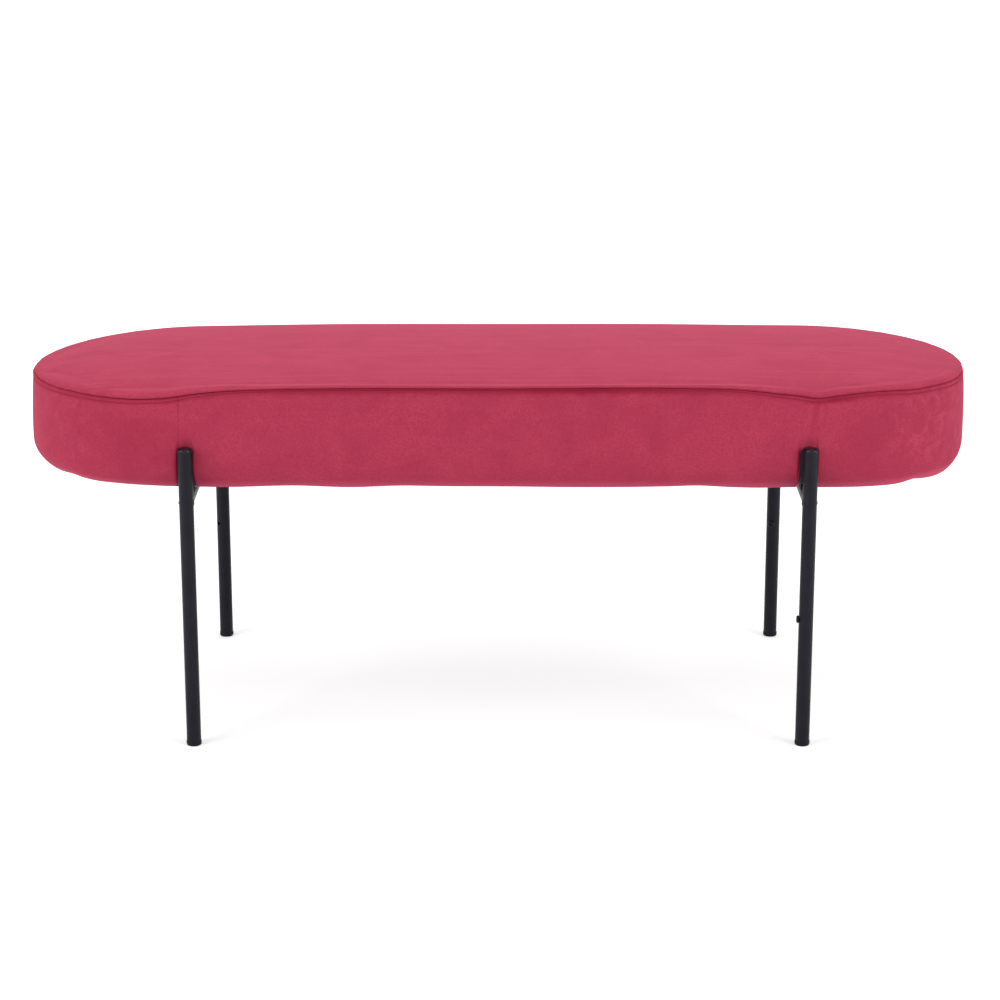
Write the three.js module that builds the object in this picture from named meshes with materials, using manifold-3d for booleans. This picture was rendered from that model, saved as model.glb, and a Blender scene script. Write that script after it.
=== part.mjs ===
// Upholstered bench: a velvet seat with round ends between two frames of straight tube legs
// Millimetres, +X along the length, -Y to the front, +Z up, origin on the floor under the centre
import * as THREE from "three";
import { mergeVertices } from "three/addons/utils/BufferGeometryUtils.js";
import Module from "manifold-3d";

const wasm = await Module();
wasm.setup();

// Fits shared by all pieces
const clearance = 0.3;
const cutterOverrun = 2;

// Seat: outer form of the velvet cover
const seatLength = 1200;
const seatDepth = 400;
const undersideHeight = 326;
const bottomCornerRadius = 35;
const bandHeight = 117;
const seamMidRise = 8;
const riseLength = 150;
const seamDrawIn = 3;
const lipWidth = 14;
const lipHeight = 7;
const crownHeight = 5;
const bandSeamInset = 11;
const hemWidth = 25;

// Seat: layers from the outside in
const velvetThickness = 2;
const waddingThickness = 6;
const boardThickness = 15;
const boardEdgeSetback = 2;
const dustCoverThickness = 0.6;
const dustCoverOverlap = 12;

// Legs: round steel tube, closed on top, with a plastic glide below
const legInset = 19;
const legRise = 58;
const tubeDiameter = 18;
const tubeWall = 1.5;
const capHeight = 4;
const capPlugLength = 8;
const footDiameter = 19;
const footHeight = 6;
const footRounding = 3.5;
const footPlugLength = 14;

// Cross tube, saddle straps and mounting tabs under the seat
const crossTubeDiameter = 16;
const crossTubeWall = 1.5;
const strapWidth = 20;
const strapShift = 2;
const strapThickness = 3;
const strapTopDrop = 1;
const strapRun = 24;
const tabLength = 76;
const tabWidth = 30;
const tabThickness = 3;
const tabCorner = 6;
const tabSpacing = 170;
const boltSpacing = 50;

// Seat bolts, washers and tee nuts, M6
const boltDiameter = 6;
const boltGripLength = 20;
const boltHeadFlats = 10;
const boltHeadHeight = 4;
const boltHoleDiameter = 6.8;
const washerDiameter = 14;
const washerThickness = 1.2;
const teeNutFlangeDiameter = 19;
const teeNutFlangeThickness = 1.5;
const teeNutBarrelDiameter = 8.4;
const teeNutLength = 10;

// Small screw in the side of a leg, M5 with a button head and a hexagon socket
const sideHoleHeight = 165;
const sideHoleDiameter = 5;
const screwDiameter = 4.4;
const screwLength = 9;
const screwHeadDiameter = 9.5;
const screwHeadHeight = 2.75;
const screwDomeHeight = 2.1;
const screwCrownDiameter = 4.6;
const screwSocketFlats = 3;
const screwSocketDepth = 1.5;

// Smoothness of the curved faces
const endSteps = 12;
const riseSteps = 3;
const cornerSteps = 4;
const wallSteps = 3;
const lipSteps = 3;
const crownSteps = 3;
const tubeSegments = 24;
const smallSegments = 12;
const roundingSteps = 4;
const strapSteps = 8;

// Places that follow from the sizes above. The seat is two straight sides with a half-round at each
// end, and the rise, the upright band seams and the legs are placed from where the half-rounds start
const halfDepth = seatDepth / 2;
const straightHalf = seatLength / 2 - halfDepth;
const riseFull = straightHalf - riseLength;
const bandSeamDistance = straightHalf - bandSeamInset;
const legOffsetX = straightHalf - legInset;
const seamHeight = undersideHeight + bandHeight;
const legTopHeight = undersideHeight + legRise;
const coverBottom = undersideHeight + dustCoverThickness + clearance;
const cornerReach = halfDepth - bottomCornerRadius;
const cornerCentreHeight = coverBottom + bottomCornerRadius;
const boardReach = cornerReach - boardEdgeSetback;
const boardBottom = coverBottom + velvetThickness + clearance;
const boardTop = boardBottom + boardThickness;
const steelTop = undersideHeight - clearance;
const tubeRadius = tubeDiameter / 2;
const legOffsetY = halfDepth + clearance + strapThickness + clearance + tubeRadius;
const tubeTop = legTopHeight - capHeight;
const crossTubeHeight = steelTop - tabThickness - clearance - crossTubeDiameter / 2;

// Colours, roughness and metalness of the materials
const velvet = () => new THREE.MeshStandardMaterial({ color: 0xb84059, roughness: 0.9, metalness: 0 });
const blackSteel = () => new THREE.MeshStandardMaterial({ color: 0x232227, roughness: 0.4, metalness: 0.6 });
const blackPlastic = () => new THREE.MeshStandardMaterial({ color: 0x1c1c1e, roughness: 0.5, metalness: 0 });
const zinc = () => new THREE.MeshStandardMaterial({ color: 0xb4b6b8, roughness: 0.35, metalness: 0.9 });
const plywood = () => new THREE.MeshStandardMaterial({ color: 0xcda877, roughness: 0.7, metalness: 0 });
const foam = () => new THREE.MeshStandardMaterial({ color: 0xe9e2c8, roughness: 0.95, metalness: 0 });
const fleece = () => new THREE.MeshStandardMaterial({ color: 0xf2f2ef, roughness: 1, metalness: 0 });
const lining = () => new THREE.MeshStandardMaterial({ color: 0x18181a, roughness: 1, metalness: 0 });

const bench = new THREE.Group();

// Adds one named piece to the bench
function addPiece(name, geometry, material, x = 0, y = 0, z = 0) {
  const mesh = new THREE.Mesh(geometry, material);
  mesh.name = name;
  mesh.position.set(x, y, z);
  bench.add(mesh);
  return mesh;
}

// Keeps positions only, merges shared corners and drops triangles without an area
function closedGeometry(source) {
  const bare = source.clone();
  bare.deleteAttribute("normal");
  bare.deleteAttribute("uv");
  const merged = mergeVertices(bare);
  const kept = [];
  for (let i = 0; i < merged.index.count; i += 3) {
    const [a, b, c] = [merged.index.getX(i), merged.index.getX(i + 1), merged.index.getX(i + 2)];
    if (a !== b && b !== c && c !== a) kept.push(a, b, c);
  }
  merged.setIndex(kept);
  return merged;
}

// A solid that can be cut and joined
function solid(source) {
  const geometry = closedGeometry(source);
  const vertProperties = new Float32Array(geometry.attributes.position.array);
  const triVerts = new Uint32Array(geometry.index.array);
  return new wasm.Manifold(new wasm.Mesh({ numProp: 3, vertProperties, triVerts }));
}

// The geometry of a cut or joined solid
function geometryOf(manifold) {
  const mesh = manifold.getMesh();
  const geometry = new THREE.BufferGeometry();
  geometry.setAttribute("position", new THREE.BufferAttribute(mesh.vertProperties, mesh.numProp));
  geometry.setIndex(new THREE.BufferAttribute(mesh.triVerts, 1));
  geometry.computeVertexNormals();
  return geometry;
}

// A turned piece that stands along Z, from [radius, height] points
function turned(points, segments) {
  const profile = points.map(([radius, height]) => new THREE.Vector2(radius, height));
  const geometry = new THREE.LatheGeometry(profile, segments);
  geometry.rotateX(Math.PI / 2);
  return closedGeometry(geometry);
}

// A cylinder along Z from one height to another
function post(diameter, bottom, top, segments) {
  const radius = diameter / 2;
  return turned([[0, bottom], [radius, bottom], [radius, top], [0, top]], segments);
}

// A ring along Z: closed profile with a bore
function ring(outerDiameter, boreDiameter, bottom, top, segments) {
  const outer = outerDiameter / 2;
  const bore = boreDiameter / 2;
  const points = [[bore, bottom], [outer, bottom], [outer, top], [bore, top], [bore, bottom]];
  return turned(points, segments);
}

// Points of a quarter round from one angle to another, around a centre, in degrees
function arcPoints(centreX, centreY, radius, fromDegrees, toDegrees, steps) {
  const points = [];
  for (let k = 0; k <= steps; k += 1) {
    const angle = THREE.MathUtils.degToRad(THREE.MathUtils.lerp(fromDegrees, toDegrees, k / steps));
    points.push([centreX + radius * Math.cos(angle), centreY + radius * Math.sin(angle)]);
  }
  return points;
}

// How much higher the seam lies toward the middle of the bench
function seamRise(x) {
  const share = THREE.MathUtils.clamp((straightHalf - Math.abs(x)) / riseLength, 0, 1);
  return seamMidRise * THREE.MathUtils.smoothstep(share, 0, 1);
}

// Lifts a point of the seat by the rise, fully at the seam and not at all at the bottom corner
function liftedHeight(x, height) {
  const share = (height - cornerCentreHeight) / (seamHeight - cornerCentreHeight);
  return height + seamRise(x) * THREE.MathUtils.clamp(share, 0, 1);
}

// Places along one straight side, from the middle of the rise to both band seams
function straightPlaces() {
  const places = [];
  for (let k = 0; k <= riseSteps; k += 1) {
    places.push(THREE.MathUtils.lerp(riseFull, bandSeamDistance, k / riseSteps));
  }
  return [...places.map((x) => -x).reverse(), ...places];
}

// Stations around a round end: all share the centre of that end
function endStations(side) {
  const stations = [];
  for (let k = 0; k <= endSteps; k += 1) {
    const turn = THREE.MathUtils.lerp(-90, 90, k / endSteps);
    stations.push({ x: side * straightHalf, angle: side > 0 ? turn : turn + 180 });
  }
  return stations;
}

// Stations along the front or the rear, between two given ends
function sideStations(angle, places) {
  const ordered = angle < 0 ? places : [...places].reverse();
  return ordered.map((x) => ({ x, angle }));
}

// All stations around the seat, counter-clockwise from the front left
function allStations() {
  const front = sideStations(-90, straightPlaces());
  const rear = sideStations(90, straightPlaces());
  return [...front, ...endStations(1), ...rear, ...endStations(-1)];
}

// A point of the seat: the station, and a [reach, height] point of its profile
function seatPoint(station, [reach, height]) {
  const angle = THREE.MathUtils.degToRad(station.angle);
  const x = station.x + reach * Math.cos(angle);
  const y = reach * Math.sin(angle);
  return [x, y, liftedHeight(station.x, height)];
}

// Sweeps a profile through stations: a full turn takes a profile from axis to axis,
// and an open run takes a closed profile and gets a cap at each end
function sweep(stations, profile, fullTurn) {
  const positions = stations.flatMap((station) => profile.flatMap((point) => seatPoint(station, point)));
  const count = profile.length;
  const indices = [];
  const runs = fullTurn ? stations.length : stations.length - 1;
  const edges = fullTurn ? count - 1 : count;
  for (let s = 0; s < runs; s += 1) {
    const next = (s + 1) % stations.length;
    for (let p = 0; p < edges; p += 1) {
      const q = (p + 1) % count;
      const [a, b, c, d] = [s * count + p, next * count + p, next * count + q, s * count + q];
      indices.push(a, b, c, a, c, d);
    }
  }
  if (!fullTurn) {
    const outline = profile.map(([reach, height]) => new THREE.Vector2(reach, height));
    const last = (stations.length - 1) * count;
    for (const [a, b, c] of THREE.ShapeUtils.triangulateShape(outline, [])) {
      indices.push(a, b, c, last + a, last + c, last + b);
    }
  }
  const geometry = new THREE.BufferGeometry();
  geometry.setAttribute("position", new THREE.Float32BufferAttribute(positions, 3));
  geometry.setIndex(indices);
  return closedGeometry(geometry);
}

// The seat's side, a given depth under the cover: bottom corner, then the wall up to a height
function wallProfile(depth, topHeight) {
  const radius = bottomCornerRadius - depth;
  const points = arcPoints(cornerReach, cornerCentreHeight, radius, -90, 0, cornerSteps);
  for (let k = 1; k <= wallSteps; k += 1) {
    const height = THREE.MathUtils.lerp(cornerCentreHeight, topHeight, k / wallSteps);
    const share = (height - cornerCentreHeight) / (seamHeight - cornerCentreHeight);
    points.push([halfDepth - depth - seamDrawIn * share * share, height]);
  }
  return points;
}

// The rolled lip and the crown over the seam, a given depth under the cover, up to the axis
function topProfile(depth) {
  const lipCentre = halfDepth - seamDrawIn - lipWidth;
  const points = [];
  for (let k = 1; k <= lipSteps; k += 1) {
    const angle = (Math.PI / 2) * (k / lipSteps);
    const reach = lipCentre + (lipWidth - depth) * Math.cos(angle);
    points.push([reach, seamHeight - depth + lipHeight * Math.sin(angle)]);
  }
  for (let k = 1; k <= crownSteps; k += 1) {
    const share = 1 - k / crownSteps;
    const height = seamHeight - depth + lipHeight + crownHeight * (1 - share * share);
    points.push([lipCentre * share, height]);
  }
  return points;
}

// Velvet top panel, from the seam over the crown
function topPanel() {
  const rimReach = halfDepth - seamDrawIn;
  const rimHeight = seamHeight + clearance / 2;
  const inner = [[rimReach - velvetThickness, rimHeight], ...topProfile(velvetThickness)];
  const outer = [[rimReach, rimHeight], ...topProfile(0)];
  return sweep(allStations(), [...inner.reverse(), ...outer], true);
}

// Profile of the velvet band: hem under the board, corner and wall up to the seam
function bandProfile() {
  const hemReach = cornerReach - hemWidth;
  const top = seamHeight - clearance / 2;
  const outer = [[hemReach, coverBottom], ...wallProfile(0, top)];
  const inner = [[hemReach, coverBottom + velvetThickness], ...wallProfile(velvetThickness, top)];
  return [...outer, ...inner.reverse()];
}

// Velvet band along the front or the rear, between the two band seams
function straightBand(angle) {
  const edge = bandSeamDistance - clearance / 2;
  const inside = straightPlaces().slice(1, -1);
  return sweep(sideStations(angle, [-edge, ...inside, edge]), bandProfile(), false);
}

// Velvet band around a round end, with the short straight stretch up to each band seam
function endBand(side) {
  const edge = side * (bandSeamDistance + clearance / 2);
  const first = { x: edge, angle: side > 0 ? -90 : 90 };
  const last = { x: edge, angle: side > 0 ? 90 : 270 };
  return sweep([first, ...endStations(side), last], bandProfile(), false);
}

// Wadding under the cover, over the top and down the sides to the edge of the board
function wadding() {
  const outerDepth = velvetThickness + clearance;
  const innerDepth = outerDepth + waddingThickness;
  const boardEdge = boardReach + clearance;
  const layer = (depth) => [
    [boardEdge, coverBottom + depth],
    ...wallProfile(depth, seamHeight - depth),
    ...topProfile(depth),
  ];
  return sweep(allStations(), [...layer(innerDepth).reverse(), ...layer(outerDepth)], true);
}

// Foam block, with a recess below that takes the board
function foamBlock() {
  const depth = velvetThickness + clearance + waddingThickness + clearance;
  const recess = boardTop + clearance;
  const boardEdge = boardReach + clearance;
  const profile = [
    [0, recess],
    [boardEdge, recess],
    [boardEdge, coverBottom + depth],
    ...wallProfile(depth, seamHeight - depth),
    ...topProfile(depth),
  ];
  return sweep(allStations(), profile, true);
}

// A flat sheet with the seat's round ends
function stadiumSheet(reach, bottom, thickness) {
  const profile = [[0, bottom], [reach, bottom], [reach, bottom + thickness], [0, bottom + thickness]];
  const stations = [...endStations(1), ...endStations(-1)];
  return sweep(stations, profile, true);
}

// Places of the eight seat bolts
function boltPlaces() {
  const places = [];
  for (const [sideName, sideX] of [["left", -1], ["right", 1]]) {
    for (const [endName, endY] of [["front", -1], ["rear", 1]]) {
      for (const [edgeName, edgeX] of [["outer", sideX], ["inner", -sideX]]) {
        places.push({
          name: `${endName}_${sideName}_${edgeName}`,
          x: sideX * legOffsetX + (edgeX * boltSpacing) / 2,
          y: (endY * tabSpacing) / 2,
        });
      }
    }
  }
  return places;
}

// Cuts the same upright tool out of a solid at each seat bolt
function cutAtBolts(body, tool) {
  return boltPlaces().reduce((rest, place) => rest.subtract(tool.translate([place.x, place.y, 0])), body);
}

// Plywood board with a bore and a shallow seat for each tee nut
function baseBoard() {
  const boreDiameter = teeNutBarrelDiameter + 2 * clearance;
  const bore = post(boreDiameter, boardBottom - cutterOverrun, boardTop + cutterOverrun, smallSegments);
  const seatDiameter = teeNutFlangeDiameter + 2 * clearance;
  const seatBottom = boardTop - teeNutFlangeThickness - clearance;
  const flangeSeat = post(seatDiameter, seatBottom, boardTop + cutterOverrun, smallSegments);
  const board = solid(stadiumSheet(boardReach, boardBottom, boardThickness));
  return geometryOf(cutAtBolts(cutAtBolts(board, solid(bore)), solid(flangeSeat)));
}

// Dust cover over the hem, with a hole for each seat bolt
function dustCover() {
  const reach = cornerReach - hemWidth + dustCoverOverlap;
  const top = undersideHeight + dustCoverThickness;
  const hole = post(boltHoleDiameter, undersideHeight - cutterOverrun, top + cutterOverrun, smallSegments);
  const sheet = solid(stadiumSheet(reach, undersideHeight, dustCoverThickness));
  return geometryOf(cutAtBolts(sheet, solid(hole)));
}

// Leg tube with a small side hole that faces the given direction
function legTube(holeDirection) {
  const bore = tubeDiameter - 2 * tubeWall;
  const tube = solid(ring(tubeDiameter, bore, footHeight, tubeTop, tubeSegments));
  const drill = post(sideHoleDiameter, 0, tubeDiameter, smallSegments);
  drill.rotateY(Math.PI / 2);
  drill.rotateZ(THREE.MathUtils.degToRad(holeDirection));
  drill.translate(0, 0, sideHoleHeight);
  return geometryOf(tube.subtract(solid(drill)));
}

// Cap that closes the top of a leg tube, with a plug inside the tube
function tubeCap() {
  const plugRadius = tubeRadius - tubeWall - clearance;
  const rounded = arcPoints(tubeRadius - capHeight, tubeTop, capHeight, 0, 90, roundingSteps);
  const plugBottom = tubeTop - capPlugLength;
  const points = [[0, plugBottom], [plugRadius, plugBottom], [plugRadius, tubeTop], ...rounded];
  return turned([...points, [0, legTopHeight]], tubeSegments);
}

// Glide under a leg tube, flat below with a rounded edge, with a plug inside the tube
function footGlide() {
  const plugRadius = tubeRadius - tubeWall - clearance;
  const footRadius = footDiameter / 2;
  const rounded = arcPoints(footRadius - footRounding, footRounding, footRounding, -90, 0, roundingSteps);
  const plugTop = footHeight + footPlugLength;
  const upper = [[footRadius, footHeight], [plugRadius, footHeight], [plugRadius, plugTop], [0, plugTop]];
  return turned([[0, 0], ...rounded, ...upper], tubeSegments);
}

// Cross tube between two legs, with both ends shaped to the leg tubes
function crossTube() {
  const bore = crossTubeDiameter - 2 * crossTubeWall;
  const body = ring(crossTubeDiameter, bore, -legOffsetY, legOffsetY, tubeSegments);
  body.rotateX(Math.PI / 2);
  const cutter = solid(post(tubeDiameter + 2 * clearance, -tubeDiameter, tubeDiameter, tubeSegments));
  const frontCut = cutter.translate([0, -legOffsetY, 0]);
  const rearCut = cutter.translate([0, legOffsetY, 0]);
  return geometryOf(solid(body).subtract(frontCut).subtract(rearCut));
}

// Outline of a saddle strap seen from its side: up the seat's side, around the corner, under the hem
function strapOutline() {
  const bottomFace = steelTop;
  const sideReach = halfDepth + clearance;
  const innerRadius = bottomCornerRadius + dustCoverThickness + clearance;
  const centreReach = sideReach - innerRadius;
  const centreHeight = bottomFace + innerRadius;
  const top = legTopHeight - strapTopDrop;
  const outerRadius = innerRadius + strapThickness;
  const innerArc = arcPoints(centreReach, centreHeight, innerRadius, 0, -90, strapSteps);
  const outerArc = arcPoints(centreReach, centreHeight, outerRadius, -90, 0, strapSteps);
  const runEnd = centreReach - strapRun;
  return [
    [sideReach, top],
    ...innerArc,
    [runEnd, bottomFace],
    [runEnd, bottomFace - strapThickness],
    ...outerArc,
    [sideReach + strapThickness, top],
  ];
}

// Extrudes a flat outline by a width, centred on zero
function extruded(points, width) {
  const shape = new THREE.Shape(points.map(([x, y]) => new THREE.Vector2(x, y)));
  const geometry = new THREE.ExtrudeGeometry(shape, { depth: width, bevelEnabled: false });
  geometry.translate(0, 0, -width / 2);
  return closedGeometry(geometry);
}

// Saddle strap for the front of a frame: the bent bar, with its upper end fully rounded. It is
// welded a little to one side of the tube's middle, the left one at the front of both frames
function saddleStrap() {
  const bent = extruded(strapOutline(), strapWidth);
  bent.rotateY(Math.PI / 2);
  bent.rotateX(Math.PI / 2);
  bent.rotateZ(Math.PI);
  const top = legTopHeight - strapTopDrop;
  const roundRadius = strapWidth / 2;
  const roundEnd = arcPoints(0, top - roundRadius, roundRadius, 0, 180, smallSegments);
  const base = steelTop - strapThickness - cutterOverrun;
  const face = extruded([...roundEnd, [-roundRadius, base], [roundRadius, base]], 2 * legOffsetY);
  face.rotateX(Math.PI / 2);
  return geometryOf(solid(bent).intersect(solid(face)).translate([-strapShift, 0, 0]));
}

// Mounting tab: a flat plate with round corners and two bolt holes
function mountingTab() {
  const halfLength = tabLength / 2 - tabCorner;
  const halfWidth = tabWidth / 2 - tabCorner;
  const outline = [
    ...arcPoints(halfLength, halfWidth, tabCorner, 0, 90, roundingSteps),
    ...arcPoints(-halfLength, halfWidth, tabCorner, 90, 180, roundingSteps),
    ...arcPoints(-halfLength, -halfWidth, tabCorner, 180, 270, roundingSteps),
    ...arcPoints(halfLength, -halfWidth, tabCorner, 270, 360, roundingSteps),
  ];
  const plate = extruded(outline, tabThickness);
  const drill = solid(post(boltHoleDiameter, -tabThickness, tabThickness, smallSegments));
  const left = drill.translate([-boltSpacing / 2, 0, 0]);
  const right = drill.translate([boltSpacing / 2, 0, 0]);
  return geometryOf(solid(plate).subtract(left).subtract(right));
}

// A hexagonal prism along Z, by its width across flats
function hexagon(flats, bottom, top) {
  return post(flats / Math.cos(Math.PI / 6), bottom, top, 6);
}

// Seat bolt: hexagon head under the washer, shank up into the tee nut
function seatBolt() {
  const headTop = steelTop - tabThickness - washerThickness - 2 * clearance;
  const head = hexagon(boltHeadFlats, headTop - boltHeadHeight, headTop);
  const shank = post(boltDiameter, headTop - boltHeadHeight / 2, headTop + boltGripLength, smallSegments);
  return geometryOf(solid(head).add(solid(shank)));
}

// Washer between the bolt head and the mounting tab
function washer() {
  const top = steelTop - tabThickness - clearance;
  const bore = boltDiameter + 2 * clearance;
  return ring(washerDiameter, bore, top - washerThickness, top, smallSegments);
}

// Tee nut, pressed into the board from above
function teeNut() {
  const bore = boltDiameter / 2 + clearance;
  const barrel = teeNutBarrelDiameter / 2;
  const flange = teeNutFlangeDiameter / 2;
  const flangeBottom = boardTop - teeNutFlangeThickness;
  const barrelBottom = boardTop - teeNutLength;
  const points = [
    [bore, barrelBottom],
    [barrel, barrelBottom],
    [barrel, flangeBottom],
    [flange, flangeBottom],
    [flange, boardTop],
    [bore, boardTop],
    [bore, barrelBottom],
  ];
  return turned(points, smallSegments);
}

// Button head screw that points into the leg, with its head outside the tube
function sideScrew(direction) {
  const headBottom = tubeRadius + clearance;
  const headTop = headBottom + screwHeadHeight;
  const shankEnd = headBottom - screwLength;
  const crownRadius = screwCrownDiameter / 2;
  const domeWidth = screwHeadDiameter / 2 - crownRadius;
  const dome = arcPoints(0, 0, 1, 0, 90, roundingSteps).map(([across, up]) => [
    crownRadius + domeWidth * across,
    headTop - screwDomeHeight + screwDomeHeight * up,
  ]);
  const shank = [[0, shankEnd], [screwDiameter / 2, shankEnd], [screwDiameter / 2, headBottom]];
  const points = [...shank, [screwHeadDiameter / 2, headBottom], ...dome, [0, headTop]];
  const socket = hexagon(screwSocketFlats, headTop - screwSocketDepth, headTop + cutterOverrun);
  const screw = geometryOf(solid(turned(points, smallSegments)).subtract(solid(socket)));
  screw.rotateY(Math.PI / 2);
  screw.rotateZ(THREE.MathUtils.degToRad(direction));
  screw.translate(0, 0, sideHoleHeight);
  return screw;
}

// The four legs: place, direction of the side hole in degrees from +X, and whether it holds a screw
const legs = [
  { name: "front_left", sideX: -1, sideY: -1, holeDirection: 60, hasScrew: false },
  { name: "front_right", sideX: 1, sideY: -1, holeDirection: 176, hasScrew: true },
  { name: "rear_left", sideX: -1, sideY: 1, holeDirection: 226, hasScrew: false },
  { name: "rear_right", sideX: 1, sideY: 1, holeDirection: 249, hasScrew: true },
];

// Seat, from the outside in
addPiece("velvet_top_panel", topPanel(), velvet());
addPiece("velvet_front_band", straightBand(-90), velvet());
addPiece("velvet_rear_band", straightBand(90), velvet());
addPiece("velvet_left_band", endBand(-1), velvet());
addPiece("velvet_right_band", endBand(1), velvet());
addPiece("wadding_layer", wadding(), fleece());
addPiece("foam_block", foamBlock(), foam());
addPiece("base_board", baseBoard(), plywood());
addPiece("dust_cover", dustCover(), lining());

// Legs, each with its cap, glide and strap
for (const leg of legs) {
  const x = leg.sideX * legOffsetX;
  const y = leg.sideY * legOffsetY;
  addPiece(`${leg.name}_leg_tube`, legTube(leg.holeDirection), blackSteel(), x, y);
  addPiece(`${leg.name}_tube_cap`, tubeCap(), blackSteel(), x, y);
  addPiece(`${leg.name}_foot_glide`, footGlide(), blackPlastic(), x, y);
  const strap = addPiece(`${leg.name}_saddle_strap`, saddleStrap(), blackSteel(), x);
  if (leg.sideY > 0) strap.rotation.z = Math.PI;
  const tab = addPiece(`${leg.name}_mounting_tab`, mountingTab(), blackSteel(), x);
  tab.position.y = (leg.sideY * tabSpacing) / 2;
  tab.position.z = steelTop - tabThickness / 2;
  if (leg.hasScrew) addPiece(`${leg.name}_side_screw`, sideScrew(leg.holeDirection), blackSteel(), x, y);
}

// Cross tubes of the two frames
for (const [name, sideX] of [["left", -1], ["right", 1]]) {
  addPiece(`${name}_cross_tube`, crossTube(), blackSteel(), sideX * legOffsetX, 0, crossTubeHeight);
}

// Seat bolts with their washers and tee nuts
for (const place of boltPlaces()) {
  addPiece(`${place.name}_bolt`, seatBolt(), zinc(), place.x, place.y);
  addPiece(`${place.name}_washer`, washer(), zinc(), place.x, place.y);
  addPiece(`${place.name}_tee_nut`, teeNut(), zinc(), place.x, place.y);
}

export default bench;
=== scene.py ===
# %% [markdown]
# # A velvet bench on two steel frames
# The measured frame of this bench is loaded first. It holds every piece at its real size: the seat's
# board, its foam and cover, the legs, the straps and the bolts. This lesson gives each piece its looks.
# The soft seat is sculpted and sewn again as a fine mesh, the steel is remade with round tubes and
# weld beads, and each piece gets a finish built from nodes.

# %% Load the measured frame
import math

import bmesh
import bpy
import numpy as np
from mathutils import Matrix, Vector
from mathutils.kdtree import KDTree


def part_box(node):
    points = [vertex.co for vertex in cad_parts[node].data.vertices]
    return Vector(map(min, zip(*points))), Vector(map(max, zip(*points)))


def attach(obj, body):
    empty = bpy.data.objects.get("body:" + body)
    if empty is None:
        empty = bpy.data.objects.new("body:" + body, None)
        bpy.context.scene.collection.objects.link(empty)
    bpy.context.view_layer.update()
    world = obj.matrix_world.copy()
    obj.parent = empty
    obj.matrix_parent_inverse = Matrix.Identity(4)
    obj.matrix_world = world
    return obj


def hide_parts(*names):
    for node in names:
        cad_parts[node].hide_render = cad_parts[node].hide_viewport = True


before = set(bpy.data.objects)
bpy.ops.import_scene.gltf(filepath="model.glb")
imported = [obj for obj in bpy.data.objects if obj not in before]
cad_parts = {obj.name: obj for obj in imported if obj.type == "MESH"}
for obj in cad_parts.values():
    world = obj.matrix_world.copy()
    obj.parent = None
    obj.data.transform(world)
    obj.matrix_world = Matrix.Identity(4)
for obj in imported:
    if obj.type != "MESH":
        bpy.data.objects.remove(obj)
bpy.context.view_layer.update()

MM = 0.001
# two places this close, in millimetres, count as one
NEAR = 0.01


# %% [markdown]
# ## Working by hand, in code
# A modeller works with one selected object at a time. The helpers below do the same: they clear the
# selection before a new primitive is added, pick points by their place, run one edit operator, and
# apply a modifier as soon as it is set. Picking by place rather than by number keeps the steps
# readable, and they still work when a size changes.

# %% Helpers for objects and edit mode
def start_clean():
    """Leaves edit mode and selects nothing."""
    if bpy.context.mode != "OBJECT":
        bpy.ops.object.mode_set(mode="OBJECT")
    bpy.ops.object.select_all(action="DESELECT")


def activate(piece):
    """Makes one object the selected and active one."""
    start_clean()
    piece.select_set(True)
    bpy.context.view_layer.objects.active = piece
    return piece


def named(name, piece=None):
    """Names a piece and its mesh: if none is given, the one that an operator has just added."""
    piece = piece or bpy.context.object
    piece.name = piece.data.name = name
    return piece


def edit(piece, mode="VERT"):
    """Enters edit mode with nothing selected."""
    activate(piece)
    bpy.ops.object.mode_set(mode="EDIT")
    bpy.ops.mesh.select_mode(type=mode)
    bpy.ops.mesh.select_all(action="DESELECT")


def pick(piece, test, kind="verts"):
    """Selects the points, edges or faces that pass a test."""
    mesh = bmesh.from_edit_mesh(piece.data)
    items = getattr(mesh, kind)
    for item in items:
        item.select_set(False)
    for item in filter(test, items):
        item.select_set(True)
    mesh.select_flush_mode()
    bmesh.update_edit_mesh(piece.data)


def finish_with(piece, kind, **settings):
    """Adds one modifier, sets it and applies it."""
    activate(piece)
    modifier = piece.modifiers.new(kind.lower(), kind)
    for key, value in settings.items():
        setattr(modifier, key, value)
    bpy.ops.object.modifier_apply(modifier=modifier.name)
    return piece


def face_outwards(piece):
    """Merges doubled points and turns all faces to the outside."""
    edit(piece)
    bpy.ops.mesh.select_all(action="SELECT")
    bpy.ops.mesh.remove_doubles(threshold=NEAR * MM)
    bpy.ops.mesh.normals_make_consistent(inside=False)
    bpy.ops.object.mode_set(mode="OBJECT")
    return piece


def settle(piece):
    """Puts the piece's place, turn and scale into its mesh."""
    activate(piece)
    bpy.ops.object.transform_apply(location=True, rotation=True, scale=True)
    return piece


def points_of(piece):
    """All points of a mesh as rows of x, y, z."""
    flat = np.empty(len(piece.data.vertices) * 3)
    piece.data.vertices.foreach_get("co", flat)
    return flat.reshape(-1, 3)


def move_points(piece, points):
    """Puts rows of x, y, z back into a mesh."""
    piece.data.vertices.foreach_set("co", points.astype(np.float32).ravel())
    piece.data.update()


def duplicate(piece, name):
    """A copy with its own mesh."""
    activate(piece)
    bpy.ops.object.duplicate(linked=False)
    return named(name)


def remove(piece):
    """Deletes a helper object."""
    bpy.data.objects.remove(piece, do_unlink=True)


# %% [markdown]
# ## The camera
# The photograph was taken from in front, about head height, with a long lens: both ends of the seat
# look alike and its top is a thin ellipse. The distance and the tilt follow from how much smaller the
# rear legs look than the front ones, and from where their feet stand.

# %% Camera
CAMERA_PLACE = (0.0024, -3.426, 1.237)
CAMERA_PITCH_DOWN = 15.95
SENSOR_WIDTH = 36
FOCAL_PIXELS = 2735
PHOTO_WIDTH = 1000

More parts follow.
